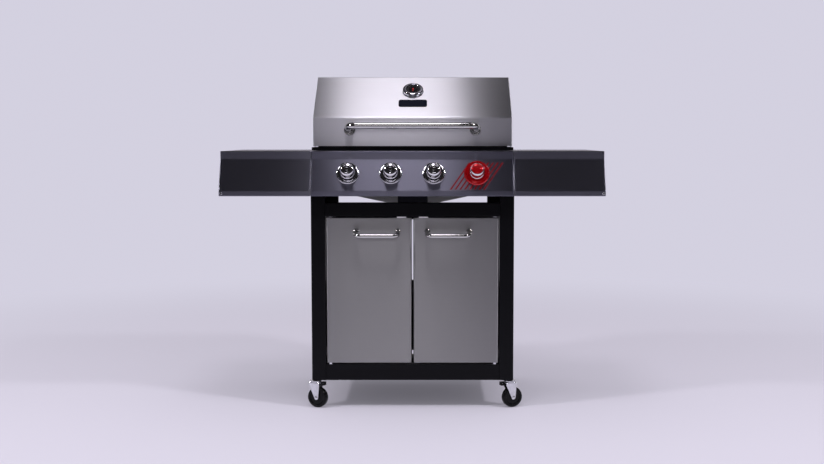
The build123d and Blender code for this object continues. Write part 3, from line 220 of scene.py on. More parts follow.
ACROSS = Matrix.Scale(-1, 4, (1, 0, 0))


def bar(name, start, end):
    """A cuboid between two corners, to be shaped further."""
    start, end = Vector(start), Vector(end)
    bpy.ops.mesh.primitive_cube_add(size=1, location=(start + end) / 2, scale=end - start)
    piece = named(name)
    settle(piece)
    return piece


def looking(direction, place):
    """A placing whose z looks along direction, with y as near to upright as it can be."""
    z = Vector(direction).normalized()
    x = Vector((0, 0, 1)).cross(z)
    if x.length < TOUCHING:
        x = Vector((1, 0, 0))
    x.normalize()
    y = z.cross(x)
    return Matrix.Translation(place) @ Matrix((x, y, z)).transposed().to_4x4()


def turned(name, rings, place=Matrix(), sides=48):
    """A turned piece from (radius, height) rings in millimetres, with a flat disc at each end."""
    radius, height = rings[0][0] * MM, rings[0][1] * MM
    bpy.ops.mesh.primitive_circle_add(vertices=sides, radius=radius, fill_type="NGON",
                                      location=(0, 0, height))
    piece = named(name)
    settle(piece)
    with Editing(piece) as edit:
        edit.all()
        for next_radius, next_height in rings[1:]:
            next_radius, next_height = next_radius * MM, next_height * MM
            edit.push(z=next_height - height)
            if next_radius != radius:
                factor = next_radius / radius
                edit.scale(factor, factor, 1, (0, 0, next_height))
            radius, height = next_radius, next_height
        edit.outward()
    piece.data.transform(place)
    smooth(piece)
    return piece


def tube(name, points, bend, radius, sides, steps):
    """A round bar along straight runs, with a spin round each corner."""
    points = [Vector(point) for point in points]
    bpy.ops.mesh.primitive_circle_add(vertices=sides, radius=radius, fill_type="NOTHING")
    piece = named(name)
    piece.data.transform(looking(points[1] - points[0], points[0]))
    at = points[0]
    with Editing(piece) as edit:
        edit.all()
        for before, corner, after in zip(points, points[1:], points[2:]):
            along = (corner - before).normalized()
            onward = (after - corner).normalized()
            turn = along.angle(onward)
            cut = bend * tan(turn / 2)
            start = corner - along * cut
            edit.push(*(start - at))
            axis = along.cross(onward).normalized()
            centre = start + axis.cross(along) * bend
            bpy.ops.mesh.spin(steps=steps, angle=-turn, center=centre, axis=axis)
            at = corner + onward * cut
        edit.push(*(points[-1] - at))
        edit.all()
        bpy.ops.mesh.fill_holes(sides=0)
        edit.outward()
    smooth(piece)
    return piece


def folded(name, corners, x0, x1, fold, wall, open_runs, end_fold, lip=None):
    """A sheet-metal body along X round a closed outline of (y, z) corners.

    open_runs are the runs of the outline that are left open. The ends are closed, or with lip
    are only a rim of that width."""
    y, z = corners[0]
    bpy.ops.mesh.primitive_plane_add(size=1, location=((x0 + x1) / 2, y + 0.5, z))
    piece = named(name)
    settle(piece)
    with Editing(piece) as edit:
        edit.pick("verts", lambda vert: vert.co.y > y + 0.5)
        bpy.ops.mesh.delete(type="VERT")
        edit.all()
        edit.scale(x1 - x0, 1, 1, ((x0 + x1) / 2, y, z))
        for before, after in zip(corners, corners[1:] + corners[:1]):
            edit.push(y=after[0] - before[0], z=after[1] - before[1])
        edit.all()
        bpy.ops.mesh.remove_doubles(threshold=TOUCHING)
        bpy.ops.mesh.fill_holes(sides=0)
        edit.outward()
        for run in open_runs:
            start, end = corners[run], corners[(run + 1) % len(corners)]
            middle = Vector(((x0 + x1) / 2, (start[0] + end[0]) / 2, (start[1] + end[1]) / 2))
            edit.pick("faces", lambda face: (face.calc_center_median() - middle).length < 10 * TOUCHING)
            bpy.ops.mesh.delete(type="FACE")
        edit.round_edges(fold, 5, edge_runs(0))
        edit.round_edges(end_fold, 3,
                         lambda edge: any(abs(face.normal.x) > ALIGNED for face in edge.link_faces))
        if lip:
            edit.pick("faces", lambda face: abs(face.normal.x) > ALIGNED and len(face.verts) > 3)
            bpy.ops.mesh.inset(thickness=lip, use_even_offset=True, use_boundary=True)
            bpy.ops.mesh.delete(type="FACE")
    thicken(piece, wall)
    smooth(piece)
    return piece


def pan(name, start, end, fold, wall, lip):
    """A folded pan between two corners, open below inside a rim as wide as lip."""
    piece = bar(name, start, end)
    with Editing(piece) as edit:
        edit.facing(0, 0, -1)
        edit.inset(lip)
        bpy.ops.mesh.delete(type="FACE")
        edit.round_edges(fold, 4, lambda edge: True)
    thicken(piece, wall)
    smooth(piece)
    return piece


# ---- Materials ----
class Value:
    """A number in a material. Arithmetic on it adds Math nodes."""

    def __init__(self, maker, socket):
        self.maker = maker
        self.socket = socket

    def _math(self, operation, *numbers):
        node = self.maker.node("ShaderNodeMath", {"operation": operation}, dict(enumerate(numbers)))
        return Value(self.maker, node.outputs[0])

    def __add__(self, other):
        return self._math("ADD", self, other)

    def __sub__(self, other):
        return self._math("SUBTRACT", self, other)

    def __rsub__(self, other):
        return self._math("SUBTRACT", other, self)

    def __mul__(self, other):
        return self._math("MULTIPLY", self, other)

    def __gt__(self, other):
        return self._math("GREATER_THAN", self, other)

    def __lt__(self, other):
        return self._math("LESS_THAN", self, other)

    __radd__ = __add__
    __rmul__ = __mul__

    def absolute(self):
        return self._math("ABSOLUTE", self, 0)

    def at_most(self, other):
        return self._math("MINIMUM", self, other)

    def at_least(self, other):
        return self._math("MAXIMUM", self, other)

    def root(self):
        return self._math("SQRT", self)

    def cycle(self, length):
        """The remainder after whole lengths, never negative."""
        return self._math("FLOORED_MODULO", self, length)

    def ramp(self, start, end):
        """0 before start, 1 after end, smooth between them."""
        node = self.maker.node("ShaderNodeMapRange", {"interpolation_type": "SMOOTHSTEP"},
                               {"Value": self, "From Min": start, "From Max": end})
        return Value(self.maker, node.outputs["Result"])


class Nodes:
    """A shader tree whose nodes are all made by one method."""

    def __init__(self, tree):
        self.tree = tree

    def node(self, kind, settings=None, inputs=None):
        node = self.tree.nodes.new(kind)
        for key, setting in (settings or {}).items():
            setattr(node, key, setting)
        for key, value in (inputs or {}).items():
            self.feed(node.inputs[key], value)
        return node

    def feed(self, socket, value):
        if isinstance(value, Value):
            self.tree.links.new(value.socket, socket)
        elif isinstance(value, bpy.types.NodeSocket):
            self.tree.links.new(value, socket)
        else:
            socket.default_value = value

    def coordinates(self, kind="Object"):
        return self.node("ShaderNodeTexCoord").outputs[kind]

    def axes(self, kind="Object"):
        """The coordinates' three parts."""
        parts = self.node("ShaderNodeSeparateXYZ", {}, {"Vector": self.coordinates(kind)})
        return [Value(self, output) for output in parts.outputs]

    def ray(self, kind):
        """1 for this kind of ray, 0 for every other."""
        return Value(self, self.node("ShaderNodeLightPath").outputs["Is " + kind + " Ray"])

    def mix(self, factor, first, second):
        """A colour between two colours."""
        node = self.node("ShaderNodeMix", {"data_type": "RGBA"}, {"Factor": factor, 6: first, 7: second})
        return node.outputs[2]


class Finish(Nodes):
    """One material, whose shader is a Principled BSDF."""

    def __init__(self, name, **constants):
        self.material = bpy.data.materials.new(name)
        self.material.use_nodes = True
        super().__init__(self.material.node_tree)
        self.shader = next(n for n in self.tree.nodes if n.type == "BSDF_PRINCIPLED")
        self.output = next(n for n in self.tree.nodes if n.type == "OUTPUT_MATERIAL")
        self.set(**constants)

    def set(self, **inputs):
        for key, value in inputs.items():
            self.feed(self.shader.inputs[key.replace("_", " ")], value)

    def noise(self, size, detail, stretch=(1, 1, 1)):
        """Noise on Object coordinates, stretched."""
        mapping = self.node("ShaderNodeMapping", {}, {"Vector": self.coordinates(), "Scale": stretch})
        node = self.node("ShaderNodeTexNoise", {},
                         {"Vector": mapping.outputs["Vector"], "Scale": size, "Detail": detail})
        return Value(self, node.outputs["Fac"])

    def bump(self, height, depth, strength=1.0):
        node = self.node("ShaderNodeBump", {}, {"Height": height, "Distance": depth, "Strength": strength})
        self.set(Normal=node.outputs["Normal"])

    def grain(self, direction):
        """Point the brushed grain's highlights across this direction of the piece."""
        turn = self.node("ShaderNodeVectorTransform",
                         {"vector_type": "VECTOR", "convert_from": "OBJECT", "convert_to": "WORLD"},
                         {"Vector": direction})
        self.set(Tangent=turn.outputs["Vector"])


def grey(value, blue=0.0):
    return (value, value, value * (1 + blue), 1)


def shaded(colour, factor, lift=0.0):
    """The colour, darker or lighter."""
    return tuple(c * factor + lift for c in colour[:3]) + (1,)


def brushed(name, tone, roughness=0.33, blue=0.0, metal=1.0):
    """Stainless steel with fine lines along X, faint rolling marks and smudges."""
    finish = Finish(name, Metallic=metal, Anisotropic=1.0, Anisotropic_Rotation=0.25)
    finish.grain((1, 0, 0))
    lines = finish.noise(1.0, 2, (9, 2400, 2400))
    bands = finish.noise(1.0, 3, (0.8, 210, 210))
    cloud = finish.noise(4.0, 4)
    shade = lines * 0.12 + bands * 0.04 + cloud * 0.16 + 0.34
    finish.colour = finish.mix(shade, grey(tone * 0.7, blue), grey(tone * 1.3, blue))
    finish.gloss = roughness + (lines - 0.5) * 0.05 + (cloud - 0.5) * 0.05
    finish.set(Base_Color=finish.colour, Roughness=finish.gloss)
    finish.bump(lines, 0.000012, 0.2)
    return finish


def chrome(name, tone=0.86, roughness=0.03, blue=0.03):
    """Mirror plating or polished steel, with a faint haze of fingerprints."""
    finish = Finish(name, Metallic=1.0)
    haze = finish.noise(22.0, 4)
    finish.set(Base_Color=finish.mix(haze, grey(tone * 0.97, blue), grey(tone * 1.03, blue)))
    finish.set(Roughness=roughness + haze.ramp(0.45, 0.8) * 0.03)
    return finish


def powder_coat(name, tone=0.0025, roughness=0.38):
    """Textured black paint: a fine orange peel, with a little dust tone on it."""
    finish = Finish(name, Specular_IOR_Level=0.14)
    peel = finish.noise(900.0, 2)
    patch = finish.noise(9.0, 4)
    finish.set(Base_Color=finish.mix(patch, grey(tone * 0.8, 0.5), grey(tone * 1.3, 0.5)))
    finish.set(Roughness=roughness + (peel - 0.5) * 0.12 + (patch - 0.5) * 0.08)
    finish.bump(peel, 0.00006, 0.5)
    return finish


def enamel(name, colour, roughness=0.12, coat=1.0, metal=0.0):
    """Baked gloss enamel with a gentle waviness."""
    finish = Finish(name, Metallic=metal, Coat_Weight=coat, Coat_Roughness=0.04)
    wave = finish.noise(60.0, 2)
    patch = finish.noise(14.0, 3)
    finish.set(Base_Color=finish.mix(patch, shaded(colour, 0.85), colour))
    finish.set(Roughness=roughness + (patch - 0.5) * 0.06)
    finish.bump(wave, 0.00004, 0.3)
    return finish


def satin(name, colour):
    """Matt printed black that hardly mirrors the lights."""
    finish = Finish(name, Specular_IOR_Level=0.07)
    speck = finish.noise(300.0, 3)
    finish.set(Base_Color=finish.mix(speck, colour, shaded(colour, 1.6, 0.0005)))
    finish.set(Roughness=0.5 + (speck - 0.5) * 0.2)
    return finish


def cast_metal(name, tone, roughness=0.65, metal=0.6):
    """Seasoned cast iron or sand-cast metal."""
    finish = Finish(name, Metallic=metal)
    sand = finish.noise(420.0, 4)
    patch = finish.noise(18.0, 4)
    finish.set(Base_Color=finish.mix(patch, grey(tone * 0.6), grey(tone * 1.5)))
    finish.set(Roughness=roughness + (sand - 0.5) * 0.3)
    finish.bump(sand, 0.0003, 0.6)
    return finish


def plain_metal(name, colour, roughness=0.3, mottle=0.12, size=60.0, metal=1.0):
    """Bare or plated metal with a soft mottle."""
    finish = Finish(name, Metallic=metal)
    patch = finish.noise(size, 5)
    finish.set(Base_Color=finish.mix(patch.ramp(0.3, 0.7), shaded(colour, 1 - mottle * 2), colour))
    finish.set(Roughness=roughness + (patch - 0.5) * mottle * 1.6)
    finish.bump(patch, 0.00004, 0.3)
    return finish


def moulded(name, colour, roughness=0.45, grain_size=700.0):
    """Moulded plastic or rubber with a spark-eroded grain."""
    finish = Finish(name, Specular_IOR_Level=0.22)
    spark = finish.noise(grain_size, 2)
    patch = finish.noise(30.0, 3)
    finish.set(Base_Color=finish.mix(patch, colour, shaded(colour, 1.5, 0.001)))
    finish.set(Roughness=roughness + (spark - 0.5) * 0.15)
    finish.bump(spark, 0.00008, 0.4)
    return finish


def clear_glass(name):
    """A thin clear cover, with a haze of dust that only shows in its gloss."""
    finish = Finish(name, Alpha=0.08, Base_Color=(0.01, 0.01, 0.012, 1))
    dust = finish.noise(200.0, 3)
    finish.set(Roughness=0.02 + dust * 0.04)
    return finish


def panel_steel():
    """The control panel's steel, with the slanted red stripes printed round the right knob."""
    # The low tone here is painted shade, darker than the same steel on the lid.
    finish = brushed("panel steel", 0.19, 0.31, blue=0.28)
    x, y, z = finish.axes()
    foot, top = 0.744, 0.832
    first, pitch, count, lean = 0.1266, 0.0157, 8, 0.72
    half_width, soft_edge = 0.0026, 0.0008
    red = (0.22, 0.002, 0.006, 1)
    along = x - (z - foot) * lean - first + pitch / 2
    off = (along.cycle(pitch) - pitch / 2).absolute()
    line = 1 - off.ramp(half_width, half_width + soft_edge)
    inside = (along > 0) * (along < pitch * count) * (z > foot) * (z < top)
    stripes = line * inside
    finish.set(Base_Color=finish.mix(stripes, finish.colour, red))
    finish.set(Metallic=1 - stripes * 0.5, Roughness=finish.gloss + stripes * 0.1)
    return finish


# One stainless steel in five tones, with painted light and shade for what each face mirrors: lighter on the
# lid, darker on the control panel and shelf fronts, in between on the doors and decks.
LIT_LID_STEEL = brushed("lid steel", 0.75, blue=0.05)
SHADED_PANEL_STEEL = panel_steel()
SHADED_SHELF_STEEL = brushed("shelf steel", 0.24, 0.31, blue=0.22)
BRUSHED_DOOR = brushed("door steel", 0.39)
BRUSHED_DECK = brushed("deck steel", 0.46, 0.28, blue=0.1, metal=0.66)
BRACKET_PAINT = satin("bracket paint", (0.024, 0.024, 0.034, 1))
CHROME = chrome("chrome")
# The gauge ring is a darker, bluer copy of the chrome: painted shade for the dark room it mirrors.
SHADED_RING_CHROME = chrome("gauge chrome", 0.52, 0.03, 0.10)
POLISHED = chrome("polished steel", 0.60, 0.10, -0.02)
POWDER = powder_coat("black powder coat")
RIM_ENAMEL = satin("black enamel", (0.0015, 0.0015, 0.002, 1))
RED_ENAMEL = enamel("red enamel", (0.60, 0.006, 0.012, 1), 0.14, metal=0.62)
TUB_STEEL = plain_metal("aluminised steel", (0.68, 0.68, 0.70, 1), 0.5, 0.05, size=30, metal=0.3)
BURNER_STEEL = plain_metal("burner steel", (0.52, 0.5, 0.47, 1), 0.35, 0.15, size=40)
CAST_IRON = cast_metal("cast iron", 0.03)
BRASS = plain_metal("brass", (0.78, 0.58, 0.28, 1), 0.28, 0.1)
ZINC = plain_metal("bright zinc", (0.80, 0.81, 0.84, 1), 0.24, 0.08, size=90)
RUBBER = moulded("wheel rubber", (0.0015, 0.0015, 0.002, 1), 0.26, grain_size=500)
PLASTIC = moulded("black plastic", (0.005, 0.005, 0.0055, 1), 0.38)
NYLON = moulded("pale nylon", (0.62, 0.61, 0.64, 1), 0.5)
BADGE = satin("badge black", (0.003, 0.0035, 0.009, 1))
DIAL = satin("dial face", (0.002, 0.002, 0.0025, 1))
NEEDLE = enamel("needle red", (0.7, 0.02, 0.02, 1), 0.3, coat=0.0)
TICK_WHITE = satin("tick grey", (0.16, 0.16, 0.17, 1))
BADGE_RIM = plain_metal("badge rim", (0.05, 0.05, 0.06, 1), 0.3)
KNOB_PAINT = satin("knob paint", (0.004, 0.004, 0.004, 1))
GLASS = clear_glass("gauge glass")

NODE_FINISHES = {
    LIT_LID_STEEL: ["lid_shell", "lid_ends"],
    SHADED_PANEL_STEEL: ["control_panel"],
    SHADED_SHELF_STEEL: ["shelf_fascias"],
    BRUSHED_DECK: ["shelf_left", "shelf_right"],
    BRUSHED_DOOR: ["door_left", "door_right"],
    POWDER: ["legs", "front_rails", "frame_rails", "rear_panel", "side_panels", "bottom_shelf",
             "firebox_supports", "shelf_arms"],
    RIM_ENAMEL: ["firebox_rim"],
    TUB_STEEL: ["firebox", "grease_tray"],
    CHROME: ["lid_handle", "door_handle_left", "door_handle_right", "knob_bezels", "gauge_housing", "knob_1",
             "knob_2", "knob_3", "warming_rack"],
    RED_ENAMEL: ["knob_bezel_red", "knob_red"],
    BURNER_STEEL: ["burners", "flame_tamers"],
    CAST_IRON: ["grate_left", "grate_right"],
    BRASS: ["gas_valves", "valve_stem_1", "valve_stem_2", "valve_stem_3", "valve_stem_red"],
    ZINC: ["gas_manifold", "hinge_pins", "screws", "lid_screws", "caster_stems",
           *("fork_" + corner for corner in CORNERS)],
    RUBBER: ["wheel_" + corner for corner in CORNERS],
    PLASTIC: ["magnet_catch", "leg_plugs", "brake_left", "brake_right"],
    BADGE: ["badge_plate"],
    DIAL: ["gauge_dial"],
    NEEDLE: ["gauge_needle"],
}


def dress(piece, finish):
    piece.data.materials.clear()
    piece.data.materials.append(finish.material)


for finish, nodes in NODE_FINISHES.items():
    for node in nodes:
        for slot in bpy.data.objects[node].material_slots:
            slot.material = finish.material


# ---- Lid ----
LID_FRONT = LID_LOW.y
LID_CREASE = LID_LOW.z + 96.3 * MM  # where the upright front folds into the slope
LID_TOP_FRONT = LID_LOW.y + 185 * MM  # where the slope folds into the flat top
LID_TOP_BACK = LID_FRONT + 330 * MM
LID_BACK_FOLD = LID_HIGH.z - 95 * MM  # where the back slope folds upright
LID_NOTCH_DEPTH, LID_NOTCH_HEIGHT = 22 * MM, 43.5 * MM
LID_SLOPE = atan2(LID_HIGH.z - LID_CREASE, LID_TOP_FRONT - LID_FRONT)


def on_lid(up):
    """A placing on the lid's slope, this many millimetres up from the crease, that looks out of it."""
    y = LID_FRONT + up * MM * cos(LID_SLOPE)
    z = LID_CREASE + up * MM * sin(LID_SLOPE)
    return looking((0, -sin(LID_SLOPE), cos(LID_SLOPE)), (0, y, z))


def make_lid():
    notch_y, notch_z = LID_HIGH.y - LID_NOTCH_DEPTH, LID_LOW.z + LID_NOTCH_HEIGHT
    corners = [(LID_FRONT, LID_LOW.z), (LID_FRONT, LID_CREASE), (LID_TOP_FRONT, LID_HIGH.z),
               (LID_TOP_BACK, LID_HIGH.z), (LID_HIGH.y, LID_BACK_FOLD), (LID_HIGH.y, notch_z),
               (notch_y, notch_z), (notch_y, LID_LOW.z)]
    lid = folded("lid_skin", corners, LID_LOW.x, LID_HIGH.x, fold=5 * MM, wall=0.9 * MM,
                 open_runs=(5, 6, 7), end_fold=2.2 * MM, lip=14 * MM)
    dress(lid, LIT_LID_STEEL)
    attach(lid, "lid")
    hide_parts("lid_shell")


LID_FOOT_RINGS = [(19.5, 0), (19.5, 2.6), (19.2, 3.9), (18.3, 4.8), (17.2, 5), (16.2, 4.6), (15.4, 3.6),
                  (14.6, 3.3), (14, 3.8), (13.6, 5), (13.2, 6.3), (12.5, 7), (11.3, 7)]
DOOR_FOOT_RINGS = [(11, 0), (11, 1.4), (10.6, 2.2), (9.6, 3), (8.6, 4.2), (8.2, 5.6), (8.2, 6.6), (7.6, 7)]


def bar_handle(name, body, node, middle, half, root_half, face_y, root_z, bar_z, standoff, bend, radius,
               foot):
    """A bent bar on two turned feet, as the node it replaces."""
    bar_y, root_y = face_y - standoff, face_y - 1 * MM
    points = [(middle - root_half, root_y, root_z), (middle - half, bar_y, bar_z),
              (middle + half, bar_y, bar_z), (middle + root_half, root_y, root_z)]
    grip = tube(name, points, bend, radius, 32, 10)
    collar = join([turned(name + "_foot", foot, looking((0, -1, 0), (x, face_y, root_z)))
                   for x in (middle - root_half, middle + root_half)])
    collar.name = name + "_feet"
    for piece in (grip, collar):
        dress(piece, POLISHED)
        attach(piece, body)
    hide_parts(node)


def make_handles():
    bar_handle("lid_bar", "lid", "lid_handle", middle=0, half=217.5 * MM, root_half=211 * MM,
               face_y=LID_FRONT, root_z=0.941, bar_z=0.954, standoff=62 * MM, bend=26 * MM,
               radius=11.2 * MM, foot=LID_FOOT_RINGS)
    for side, sign in (("left", -1), ("right", 1)):
        bar_handle("door_bar_" + side, "door_" + side, "door_handle_" + side, middle=sign * 119.5 * MM,
                   half=71.8 * MM, root_half=70 * MM, face_y=LEG_FRONT, root_z=0.601, bar_z=0.590,
                   standoff=44 * MM, bend=18 * MM, radius=7.5 * MM, foot=DOOR_FOOT_RINGS)


GAUGE_RINGS = [(36, 0), (36, 1.6), (35.6, 2.6), (34.6, 3.2), (34.2, 4.2), (34.2, 8.6), (34.9, 9.4),
               (35.2, 10.4), (34.9, 11.6), (33.6, 13), (31.6, 14), (28.8, 14.8), (26.6, 15),
               (25.4, 14.8), (24.4, 14), (23.6, 13), (22.9, 12.3), (22.7, 12.1), (21, 12.05),
               (12, 12)]
GAUGE_FACE_RINGS = [(22.5, 12.1), (22.5, 12.25), (22.2, 12.35), (3, 12.35)]
GAUGE_GLASS_RINGS = [(22.8, 13.5), (22.8, 13.8), (19, 14.2), (13, 14.5), (6, 14.7), (0.5, 14.75)]
GAUGE_HUB_RINGS = [(2.6, 12.5), (2.6, 13.2), (2.2, 13.5), (0.8, 13.6)]
TICK_COUNT, TICK_FIRST, TICK_STEP = 25, -120, 10  # the scale's marks, in degrees
TICK_END, LONG_TICK, SHORT_TICK = 19.6, 3.6, 2.0
TICK_HALF, TICK_UNDER, TICK_OVER = 0.3 * MM, 12.35 * MM, 12.45 * MM
POINTER_HALF, POINTER_TAIL, POINTER_TIP = 1.1 * MM, -12.5 * MM, 6 * MM
POINTER_UNDER, POINTER_OVER = 12.6 * MM, 13.2 * MM


def make_gauge():
    turn = Vector(JOINTS["gauge_needle_turn"]["pos_m"])
    place = looking((0, -sin(LID_SLOPE), cos(LID_SLOPE)), turn)
    bezel = turned("gauge_bezel", GAUGE_RINGS, place, 64)
    face = turned("gauge_face", GAUGE_FACE_RINGS, place, 64)
    ticks = []
    for step in range(TICK_COUNT):
        spin = Matrix.Rotation(radians(TICK_FIRST + step * TICK_STEP), 4, "Z")
        length = LONG_TICK if step % 4 == 0 else SHORT_TICK
        tick = bar("gauge_tick", (-TICK_HALF, (TICK_END - length) * MM, TICK_UNDER),
                   (TICK_HALF, TICK_END * MM, TICK_OVER))
        tick.data.transform(place @ spin)
        ticks.append(tick)
    ticks = join(ticks)
    ticks.name = "gauge_ticks"
    glass = turned("gauge_glass", GAUGE_GLASS_RINGS, place, 64)
    needle = bar("gauge_pointer", (-POINTER_HALF, POINTER_TAIL, POINTER_UNDER),
                 (POINTER_HALF, POINTER_TIP, POINTER_OVER))
    with Editing(needle) as edit:
        edit.facing(0, 1, 0)
        edit.scale(0.25, 1, 0.8, (0, POINTER_TIP, (POINTER_UNDER + POINTER_OVER) / 2))
    needle.data.transform(place)
    rounded(needle, 0.15 * MM)
    hub = turned("gauge_hub", GAUGE_HUB_RINGS, place, 24)
    pieces = [(bezel, SHADED_RING_CHROME, "chrome", "lid"), (face, DIAL, "badge_black", "lid"),
              (ticks, TICK_WHITE, "dial_white", "lid"), (glass, GLASS, "dial_white", "lid"),
              (needle, NEEDLE, "needle_red", "needle"), (hub, NEEDLE, "needle_red", "needle")]
    for piece, finish, slot, body in pieces:
        dress(piece, finish)
        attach(piece, body)
    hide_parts("gauge_housing")
    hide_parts("gauge_dial")
    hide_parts("gauge_needle")


BADGE_UP = 77.5  # the bare plate's middle, up the slope from the crease
BADGE_CORNER = 8 * MM


def rounded_plate(name, width, height, thick, place):
    """A plate with round corners that lies on the placing."""
    plate = bar(name, (-width / 2, -height / 2, 0), (width / 2, height / 2, thick))
    with Editing(plate) as edit:
        edit.round_edges(BADGE_CORNER, 8, edge_runs(2))
    plate.data.transform(place)
    return plate


def make_badge():
    place = on_lid(BADGE_UP)
    plate = rounded_plate("badge_plaque", 96.6 * MM, 38.6 * MM, 1.7 * MM, place)
    rounded(plate, 0.4 * MM)
    rim = rounded_plate("badge_rim", 96.9 * MM, 38.9 * MM, 2.4 * MM, Matrix())
    with Editing(rim) as edit:
        edit.pick("faces", lambda face: abs(face.normal.z) > ALIGNED)
        edit.inset(1.1 * MM)
        bpy.ops.mesh.bridge_edge_loops()
        edit.outward()
    rim.data.transform(place)
    rounded(rim, 0.3 * MM)
    for piece, finish in ((plate, BADGE), (rim, BADGE_RIM)):
        dress(piece, finish)
        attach(piece, "lid")
    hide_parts("badge_plate")


# ---- Control panel and side shelves ----
PANEL_LOW, PANEL_HIGH = low("control_panel"), high("control_panel")
PANEL_STRIP = PANEL_HIGH.z - 27 * MM  # the top strip's lower fold
PANEL_FOOT = PANEL_LOW.z + 17.5 * MM  # the bottom strip's upper fold
PANEL_TOP_FRONT, PANEL_FOOT_FRONT = back(-8), back(-50)
PANEL_TILT = atan2(42, 103.5)  # the main facet's lean, from its depth and height
PANEL_SHEET, SHEET_FOLD = 1.1 * MM, 2.6 * MM
KNOB_HEIGHT = 0.797
KNOB_PLACES = [(PANEL_HIGH.x - 121.6 * MM) * (2 * i / 3 - 1) for i in range(4)]
# The front's (y, z) corners, from the top down.
FACETS = [(PANEL_TOP_FRONT, PANEL_HIGH.z), (PANEL_TOP_FRONT, PANEL_STRIP), (PANEL_FOOT_FRONT, PANEL_FOOT),
          (PANEL_FOOT_FRONT, PANEL_LOW.z)]


def on_panel(x):
    """A placing on the panel's main facet at a knob, that looks out of it."""
    y = PANEL_TOP_FRONT - (PANEL_STRIP - KNOB_HEIGHT) * tan(PANEL_TILT)
    return looking((0, -cos(PANEL_TILT), sin(PANEL_TILT)), (x, y, KNOB_HEIGHT))


def make_panel():
    rear, step = back(51.5), PANEL_LOW.z + 20.5 * MM
    corners = [(rear, PANEL_HIGH.z)] + FACETS + [(back(-28), PANEL_LOW.z), (back(-0.5), PANEL_LOW.z),
                                                 (back(-0.5), step), (rear, step)]
    panel = folded("panel_skin", corners, PANEL_LOW.x, PANEL_HIGH.x, SHEET_FOLD, PANEL_SHEET,
                   open_runs=(5, 6, 7, 8), end_fold=SHEET_FOLD)
    dress(panel, SHADED_PANEL_STEEL)
    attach(panel, "cart")
    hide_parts("control_panel")


def make_shelves():
    inner, outer = PANEL_HIGH.x + 1.5 * MM, high("shelf_fascias").x
    corners = [(back(8), PANEL_HIGH.z)] + FACETS + [(back(-34), PANEL_LOW.z), (back(-34), PANEL_FOOT),
                                                    (back(8), PANEL_STRIP)]
    front = folded("shelf_front_right", corners, inner, outer, SHEET_FOLD, PANEL_SHEET, open_runs=(5, 6, 7),
                   end_fold=2.2 * MM)
    deck = pan("shelf_deck_right", (inner + 1.2 * MM, back(9), PANEL_HIGH.z - 22 * MM),
               (outer - 1.2 * MM, high("shelf_right").y, PANEL_HIGH.z), fold=2.4 * MM, wall=PANEL_SHEET,
               lip=9 * MM)
    fronts = [front, copy_of(front, "shelf_front_left", ACROSS)]
    decks = [deck, copy_of(deck, "shelf_deck_left", ACROSS)]
    for piece in fronts + decks:
        dress(piece, SHADED_SHELF_STEEL if piece in fronts else BRUSHED_DECK)
        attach(piece, "cart")
    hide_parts("shelf_fascias")
    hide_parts("shelf_right")
    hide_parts("shelf_left")


def paint_by_height(piece, place, bands):
    """Give a turned piece several finishes, by how far its faces lie along the placing, in millimetres."""
    piece.data.materials.clear()
    for top, finish in bands:
        piece.data.materials.append(finish.material)
    inward = place.inverted()
    for face in piece.data.polygons:
        height = (inward @ face.center).z / MM
        face.material_index = next(i for i, (top, finish) in enumerate(bands) if height < top)


KNOB_RINGS = [(23.6, 13), (24.7, 13.3), (25.1, 14.2), (24.7, 15.1), (23.7, 15.7), (23.2, 16.6),
              (23, 20), (22.9, 28), (22.8, 35), (22.5, 37.2), (21.6, 39.4), (20.2, 41.2),
              (18.4, 42.6), (16.4, 43.4), (15, 43.7), (14.4, 43.6), (13.9, 43.1), (13.4, 42.7),
              (12.8, 42.9), (12.4, 43.5), (11.6, 43.8), (9, 43.85), (6.6, 43.7), (6.2, 43.3),
              (5.6, 43.3), (5.2, 43.8), (3, 43.95), (0.4, 44)]
BEZEL_RINGS = [(38.7, 0), (38.7, 1.6), (38.3, 3), (37.4, 4.1), (36.2, 4.6), (35, 4.2), (34.2, 3.2),
               (33.5, 2.5), (32, 2.2), (28, 2.2), (23, 2.4), (20, 3.2), (18, 8), (17.4, 9),
               (12.6, 9)]
RED_RINGS = [(43, 0), (43, 1.4), (42.7, 3.2), (41.8, 5), (40.4, 6.2), (38.8, 6.4), (37.6, 5.6),
             (36.6, 3.4), (35.2, 2.2), (33.8, 2.6), (32.8, 4), (31.4, 5.6), (29.6, 6), (27.6, 5.2),
             (24, 3), (20, 3.4), (18, 8), (17.4, 9), (12.6, 9)]
MARK_HALF, MARK_DROP = 0.7 * MM, 2.6 * MM  # the mark follows the knob's rounded edge down
RED_KNOB_BANDS = [(42.2, CHROME), (99.0, RED_ENAMEL)]  # a chrome side and a red front


def make_knobs():
    knob = turned("knob_master", KNOB_RINGS, Matrix(), 64)
    mark = bar("knob_mark_master", (-MARK_HALF, 16.4 * MM, 42.8 * MM), (MARK_HALF, 20.6 * MM, 43.6 * MM))
    with Editing(mark) as edit:
        edit.facing(0, 1, 0)
        bpy.ops.transform.translate(value=(0, 0, -MARK_DROP))
    rounded(mark, 0.25 * MM)
    bezel = turned("bezel_master", BEZEL_RINGS, Matrix(), 64)
    for i, name in enumerate(("1", "2", "3", "red")):
        place = on_panel(KNOB_PLACES[i])
        body = "knob_" + name
        cap = copy_of(knob, "knob_cap_" + name, place)
        pointer = copy_of(mark, "knob_line_" + name, place)
        if name == "red":
            paint_by_height(cap, place, RED_KNOB_BANDS)
            dish = turned("bezel_dish_red", RED_RINGS, place, 72)
            dress(dish, RED_ENAMEL)
            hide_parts("knob_bezel_red")
        else:
            dish = copy_of(bezel, "bezel_dish_" + name, place)
            dress(cap, CHROME)
            dress(dish, CHROME)
        dress(pointer, KNOB_PAINT)
        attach(cap, body)
        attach(pointer, body)
        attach(dish, "cart")
        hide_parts(body)
    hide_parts("knob_bezels")
    for spare in (knob, mark, bezel):
        bpy.data.objects.remove(spare)


